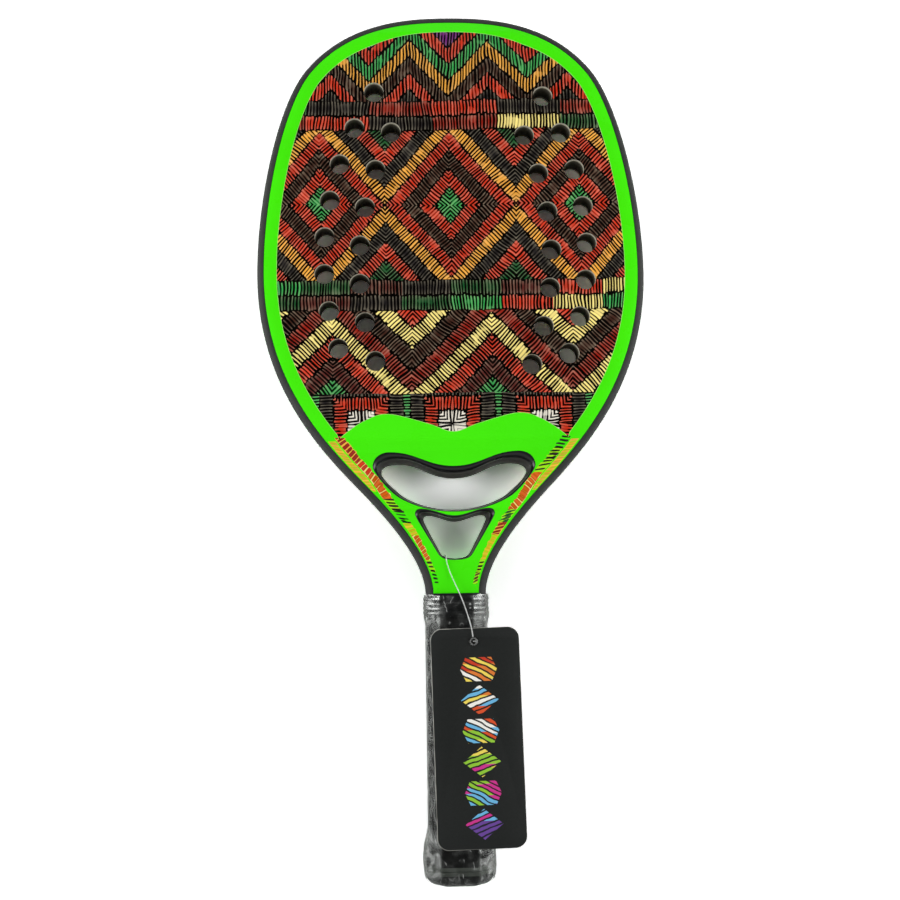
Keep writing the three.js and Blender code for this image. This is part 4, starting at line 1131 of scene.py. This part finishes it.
def rim_finish():
    f = Finish("green_lacquer", Specular_IOR_Level=0.1)
    x, y, _ = f.parts()
    side = x.over(0.0)
    down = (ARM_TOP - y) / ARM_LENGTH

    def by_block(column):
        values = [[row[column] for row in arm] for arm in (LEFT_ARM, RIGHT_ARM)]
        left, right = [[v if column < 2 else (v, v, v) for v in arm] for arm in values]
        return f.blend(f.bands(down, left), f.bands(down, right), side)

    # the outline's half width at each height, as a share of the widest
    rise = ARM_CURVE_TOP - ARM_FOOT_Y
    spots = [spot for spot, _ in walk(OUTLINE_NODES) if ARM_FOOT_Y <= spot.y <= ARM_CURVE_TOP]
    points = sorted(((p.y - ARM_FOOT_Y) / rise, p.x / HEAD_HALF) for p in spots)
    points = [(0.0, ARM_FOOT_X / HEAD_HALF)] + points[1::3] + [(1.0, points[-1][1])]
    outline = f.node("ShaderNodeFloatCurve", {"points": points}, {"Value": (y - ARM_FOOT_Y) / rise})
    depth = (outline * HEAD_HALF - abs(x)) * y.ramp(175, 215, 0.96, 0.72)

    start = y.ramp(212, 232, 5.6, 8.6)
    strip = (depth - start) / y.ramp(172, 212, 2.7, 4.6)
    mark = (down * float(len(LEFT_ARM))).whole() + side * 20.0
    lean = by_block(2) * 1.5 - 0.8
    shaded, cover = stitched(f, y + depth * lean, strip, mark, by_block(0), 2.1, by_block(3), 0.3)
    here = in_row(strip, 0.02, f.drift(2.6, 0.8, 1.0, 2.0)) * in_row(down, 0.0, 1.0)
    # above the throat a second, fading strip lies between the first one and the tube
    second = (depth - 4.9) / (start - 5.3)
    faded = f.blend(MUSTARD, ORANGE, f.noise(7.0))
    soft, soft_cover = stitched(f, y + depth * 0.2, second, side + 50.0, faded, 1.7, 0.8, 0.5)
    there = in_row(second, 0.0, 1.0) * in_row(y, 221.0, 250.0)
    foot = abs(abs(x) - 15.5).under(0.5) * in_row(y, 164.5, 170.5)
    lime = f.blend(f.blend(LIME, PALE_LIME, there), by_block(1), here)
    colour = f.blend(f.tint(lime, f.drift(40.0, 0.97, 1.03)), soft, soft_cover * there)
    colour = f.blend(f.blend(colour, shaded, cover * here), "0a3a08", foot)
    bump = f.bump(f.noise(1.6), 0.03, 0.2)
    return f.join(Base_Color=colour, Roughness=f.drift(14.0, 0.25, 0.33, 4.0), Normal=bump)


def keyline_finish():
    f = Finish("pale_line")
    worn = f.noise(5.0, 4.0).ramp(0.35, 0.65, 0.8, 1.0)
    return f.join(Base_Color=f.tint("a0fb66", worn), Roughness=worn * 0.45)


for finish, pieces in zip((rim_finish, print_finish, keyline_finish), zip(*face_pieces.values())):
    dress(finish(), *pieces)

# %% [markdown]
# The tube is dark moulded composite under a satin lacquer: a faint slanting weave, a little metal
# glitter, and fine scuffs along the edge.


# %% Tube, walls and foam
def tube_finish():
    f = Finish("satin_tube", Specular_IOR_Level=0.1)
    x, y, z = f.parts()
    weave = abs(((x + y + z) / 3.2).rest() - 0.5) * abs(((x - y + z) / 3.2).rest() - 0.5)
    cloudy = f.noise(22.0, 4.0)
    fleck = f.noise(0.35, 2.0).ramp(0.55, 0.75)
    scuff = f.noise(6.0, 6.0, 0.75).ramp(0.58, 0.7)
    grey = cloudy.ramp(0.3, 0.7, 0.85, 1.15) + weave * 0.7 + fleck * 0.12 + scuff * 0.3
    # painted shade: the colour is darker round the tube's outer middle, which faces the side lamps,
    # than towards the faces
    base = f.blend("1f2120", "353735", abs(z).ramp(7.2, 10.0))
    rough = 0.5 + cloudy * 0.14 + scuff * 0.2
    bump = f.bump(f.noise(2.4), 0.05, 0.2)
    return f.join(Base_Color=f.tint(base, grey), Roughness=rough, Normal=bump)


def wall_finish():
    """Black gloss on the rounded shoulders, satin charcoal on the wall between them, made paler as a
    painted reflection.
    """
    f = Finish("opening_lacquer", Specular_IOR_Level=0.35, Coat_Roughness=0.1)
    shoulder = abs(f.parts()[2]).ramp(6.4, 6.7)
    speck = f.noise(1.1, 3.0, 0.7).ramp(0.62, 0.75)
    # the charcoal between the shoulders is paler than the wall itself: a painted reflection
    base = f.blend("393935", "0c0c0f", shoulder)
    shade = f.noise(15.0) * 0.6 + 0.7 + speck * 0.5
    bump = f.bump(f.noise(6.0, 2.0), 0.1, 0.3)
    rough = f.drift(15.0, 0.5, 0.62) - shoulder * 0.24
    return f.join(Base_Color=f.tint(base, shade), Roughness=rough, Coat_Weight=shoulder * 0.25,
                  Normal=bump)


def foam_finish(name, code, highlight_code=None):
    """Open pores; where the core lies near a sheet its colour turns paler, a painted highlight of the
    light that falls on each hole's wall near the faces.
    """
    f = Finish(name, Specular_IOR_Level=0.2)
    pores = f.cells(2.2)
    shade = pores.ramp(0.1, 0.5, 0.7, 1.15) + f.noise(4.0) * 0.2
    # painted highlight: the foam is paler within a few millimetres of either sheet
    near_sheet = abs(f.parts()[2]).ramp(SEAT - 2.4, SEAT - 1.0)
    foam = f.blend(code, highlight_code or code, near_sheet)
    return f.join(Base_Color=f.tint(foam, shade), Roughness=f.drift(4.0, 0.8, 0.95),
                  Normal=f.bump(pores, 0.15, 0.6))


def staple_finish():
    f = Finish("staple_steel", Metallic=1.0)
    drawn = f.noise(1.0, at=f.spot(0.2, 4.0, 4.0))
    return f.join(Base_Color=f.tint("b9bcc0", drawn.ramp(0.3, 0.7, 0.8, 1.1)),
                  Roughness=drawn.ramp(0.3, 0.7, 0.22, 0.42))


nodes = frame["nodes"]
dress(tube_finish(), frame_tube, *legs)
dress(wall_finish(), upper_wall, lower_wall)
dress(foam_finish("dark_core_foam", "5c5a50", "b4b09e"), foam_core)
dress(foam_finish("neck_foam", "1f1f1c"), nodes["neck_filler"])
dress(foam_finish("pallet_foam", "9aa096"), nodes["pallet_front"], nodes["pallet_back"])
dress(staple_finish(), nodes["staple_front"], nodes["staple_back"])

# %% [markdown]
# Under the film the wrap is soft black polyurethane with a fine grain, the collar is rubber and the
# cap is grained plastic.

# %% Grip finishes
PALE_FROM, PALE_TO = 7.3, 12.0


def grip_finish(name, code, grain, rough_low, rough_high, depth, band=None):
    f = Finish(name, Specular_IOR_Level=0.12)
    y = f.parts()[1]
    cells = f.cells(1 / grain, "SMOOTH_F1")
    rubbed = f.noise(5.0, 5.0, 0.7).ramp(0.55, 0.72)
    shade = f.drift(13.0, 0.75, 1.2, 4.0) + rubbed * 0.35 + cells * 0.3
    # a paler band runs round the wrap's end and the lip of the cap beside it
    colour = f.blend(code, band or code, in_row(y + rubbed * 0.4, PALE_FROM, PALE_TO))
    rough = f.drift(13.0, rough_low, rough_high, 4.0) - rubbed * 0.08
    return f.join(Base_Color=f.tint(colour, shade), Roughness=rough, Normal=f.bump(cells, depth, 0.5))


dress(grip_finish("grip_strip", "0b0b0b", 0.7, 0.5, 0.68, 0.08, "444743"), wound_grip)
dress(grip_finish("collar_rubber", "0a0b0c", 0.5, 0.45, 0.6, 0.04), ribbed_collar)
dress(grip_finish("cap_plastic", "161717", 0.45, 0.4, 0.55, 0.05, "444743"), end_cap)

# %% [markdown]
# The film lets most light through and mirrors the rest. So its material mixes a clear shader with a
# mirror-like one: hardly any mirror on the tight flats, more on the bevels where the film is loose,
# at the collar and the butt, and most on the ribs that it presses over the collar.

# %% Film finish
def film_finish():
    f = Finish("clear_shrink_film")
    x, y, _ = f.parts()
    out = abs(x)
    smeared, tucked = f.spot(1.0, 0.28, 1.0), f.spot(0.3, 1.0, 0.3)
    cling, tuck = f.noise(1.6, 2.0, at=smeared), f.noise(3.2, 0.0, at=tucked)
    crinkle = f.noise(5.0, 1.0)
    haze = f.noise(9.0, 1.0).ramp(0.5, 0.64)
    top, foot = y.ramp(142, 149), y.ramp(36, 24)
    ends = top.larger(foot * y.ramp(3.5, 7.5, 0.25, 1.0))
    side = out.ramp(8.0, 9.5)
    # fine upright wrinkles, where a slow noise crosses its middle
    fold = abs(f.noise(5.5, 1.0, at=smeared) - 0.5).ramp(0.0, 0.02, 1.0, 0.0)
    fold *= crinkle.ramp(0.48, 0.6)
    # light on the bevels: bars on the collar's ribs, the curled upper edge, and puffs near the butt
    bevel = out.ramp(8.5, 10.0) * out.ramp(17.0, 14.0)
    ribs = ((y - COLLAR_LOW) / RIB_PITCH * math.tau).sum("COSINE").ramp(-0.6, 0.9)
    broken = f.noise(2.6, 0.0, at=tucked).ramp(0.36, 0.54, 0.35, 1.0)
    bars = ribs * in_row(y, 150.4, 161.0) * broken * bevel
    curl = y.ramp(HANDLE_HIGH - 0.9, HANDLE_HIGH - 0.3) * side * f.noise(2.2, 0.0).ramp(0.42, 0.55)
    puffs = f.noise(6.5, 0.0).ramp(0.5, 0.58) * in_row(y, 12.0, 24.0) * bevel
    share = (0.002 + cling.ramp(0.47, 0.54) * (1.0 - top.larger(foot)) * 0.03
             + out.ramp(15.0, 15.8, 0.0, 0.012) + x.ramp(9.0, 11.0) * top * 0.016
             + ends * crinkle.ramp(0.3, 0.6, 0.008, 0.034) + crinkle.ramp(0.52, 0.62) * ends * 0.06
             + bars * 0.17 + curl * 0.1 + puffs * 0.05 + haze * 0.012)
    # beside the handle the film lies in loose layers, which look grey against a pale ground
    loose = (out - y.ramp(20.0, 27.0, 18.4, 16.7)).ramp(0.0, 0.6)
    crease = fold * ends * (1.0 - side)
    share = share.larger(loose * crinkle.ramp(0.3, 0.7, 0.4, 0.75)).larger(crease * 0.3)
    normal = f.bump(tuck * ends * 0.4 + crinkle * (0.05 + ends * 0.3) + fold * ends * 0.25, 0.4, 0.5)
    tone = f.blend(f.tint((0.9, 0.92, 0.9), crinkle.ramp(0.2, 0.8, 0.85, 1.0)), "666a65", loose)
    f.join(Base_Color=tone, Metallic=1.0 - loose.larger(crease), Normal=normal,
           Roughness=0.34 - ends * 0.06 + haze * 0.26)
    clear = f.node("ShaderNodeBsdfTransparent", {}, [(0.95, 0.96, 0.95)])
    mixed = f.node("ShaderNodeMixShader", {}, [share, clear, Amount(f, f.shader.outputs[0])])
    f.feed(f.tree.nodes["Material Output"].inputs["Surface"], mixed)
    return f.material


dress(film_finish(), shrunk_film)

# %% [markdown]
# The tag is charcoal card with a few blocks of bright hatching, which form no letters. Its edge is
# rubbed pale, and paler still towards its left and top as a painted highlight. The strand and its
# ring are clear plastic, given a pale colour as a painted highlight, since they look white against
# the card.

# %% Tag and strand finishes
# one ink after another, from the hole downwards
TAG_INKS = ["c8402a", "dd7d3a", "f0d860", "f1efe8", "6fb7e0", "d9552f",
            "93c83d", "f0d860", "93c83d", "cf3a8f", "6fb7e0", "6d4a9c"]
INK_BLOCK, INK_FOOT, INK_TOP, INK_ASIDE, HATCH_PITCH = 17.0, -109.0, -7.0, 2.2, 2.75


def tag_finish():
    f = Finish("charcoal_card", Specular_IOR_Level=0.25)
    x, y, _ = f.parts()
    u, v = turned(x - TAG_HOLE[0], y - TAG_HOLE[1], -TAG_TURN)
    fibre = f.noise(1.2, 4.0, 0.7)
    base = f.tint("232524", fibre.ramp(0.3, 0.7, 0.93, 1.08))
    # a column of hatched diamonds and blocks down the card
    drift = (f.noise(9.0, 2.0) - 0.5) * 3.0
    block = (v - INK_FOOT) / INK_BLOCK
    within = abs(block.rest() - 0.5) * INK_BLOCK
    odd = (block.whole() * 0.5).rest().over(0.25)
    aside = abs(u - INK_ASIDE)
    diamond = (aside * 0.8 + within).under(8.4)
    hexagon = (aside + within * 0.45).under(10.2) * within.under(6.6)
    shape = diamond.towards(hexagon, odd) * in_row(v, INK_FOOT, INK_TOP)
    lean = odd * 0.9 - 0.35
    hatch = (v + u * lean + drift) / HATCH_PITCH
    run = (v / -106.0 + (f.dice(hatch.whole(), odd) - 0.5) * 0.3).larger(0.0).smaller(0.99)
    ink = f.bands(run, [paint(code) for code in TAG_INKS])
    bar = abs(hatch.rest() - 0.5).under(0.33)
    colour = f.blend(base, ink, bar * shape)
    across = (abs(u - CARD_ASIDE) - (CARD_WIDTH / 2 - CARD_CORNER)).larger(0.0)
    along = (abs(v - CARD_TOP + CARD_HEIGHT / 2) - (CARD_HEIGHT / 2 - CARD_CORNER)).larger(0.0)
    from_edge = (across * across + along * along).sum("SQRT")
    rubbed = from_edge.ramp(6.1, 6.35) * f.noise(14.0, 3.0).ramp(0.35, 0.6, 0.35, 1.0)
    # painted highlight: the pale edge is lighter towards the card's left and top
    lit_side = (u * -1.0 + v * 0.3 + 20.0).ramp(-20.0, 25.0, 0.25, 1.0)
    colour = f.blend(colour, "b8b8b0", rubbed * lit_side)
    return f.join(Base_Color=colour, Roughness=f.drift(30.0, 0.3, 0.38, 2.0),
                  Normal=f.bump(fibre, 0.02, 0.3))


def strand_finish(name, clearness, code):
    # painted highlight: a pale colour on the clear plastic stands in for its highlight
    f = Finish(name, Transmission_Weight=clearness, IOR=1.45)
    return f.join(Base_Color=f.tint(code, f.drift(4.0, 0.9, 1.0)), Roughness=f.drift(4.0, 0.2, 0.32))


dress(tag_finish(), card)
dress(strand_finish("clear_strand", 0.45, "eceeec"), tag_strand)
dress(strand_finish("clear_ring", 0.8, "c4c6c4"), lock_ring)

# %% Last update
bpy.context.view_layer.update()
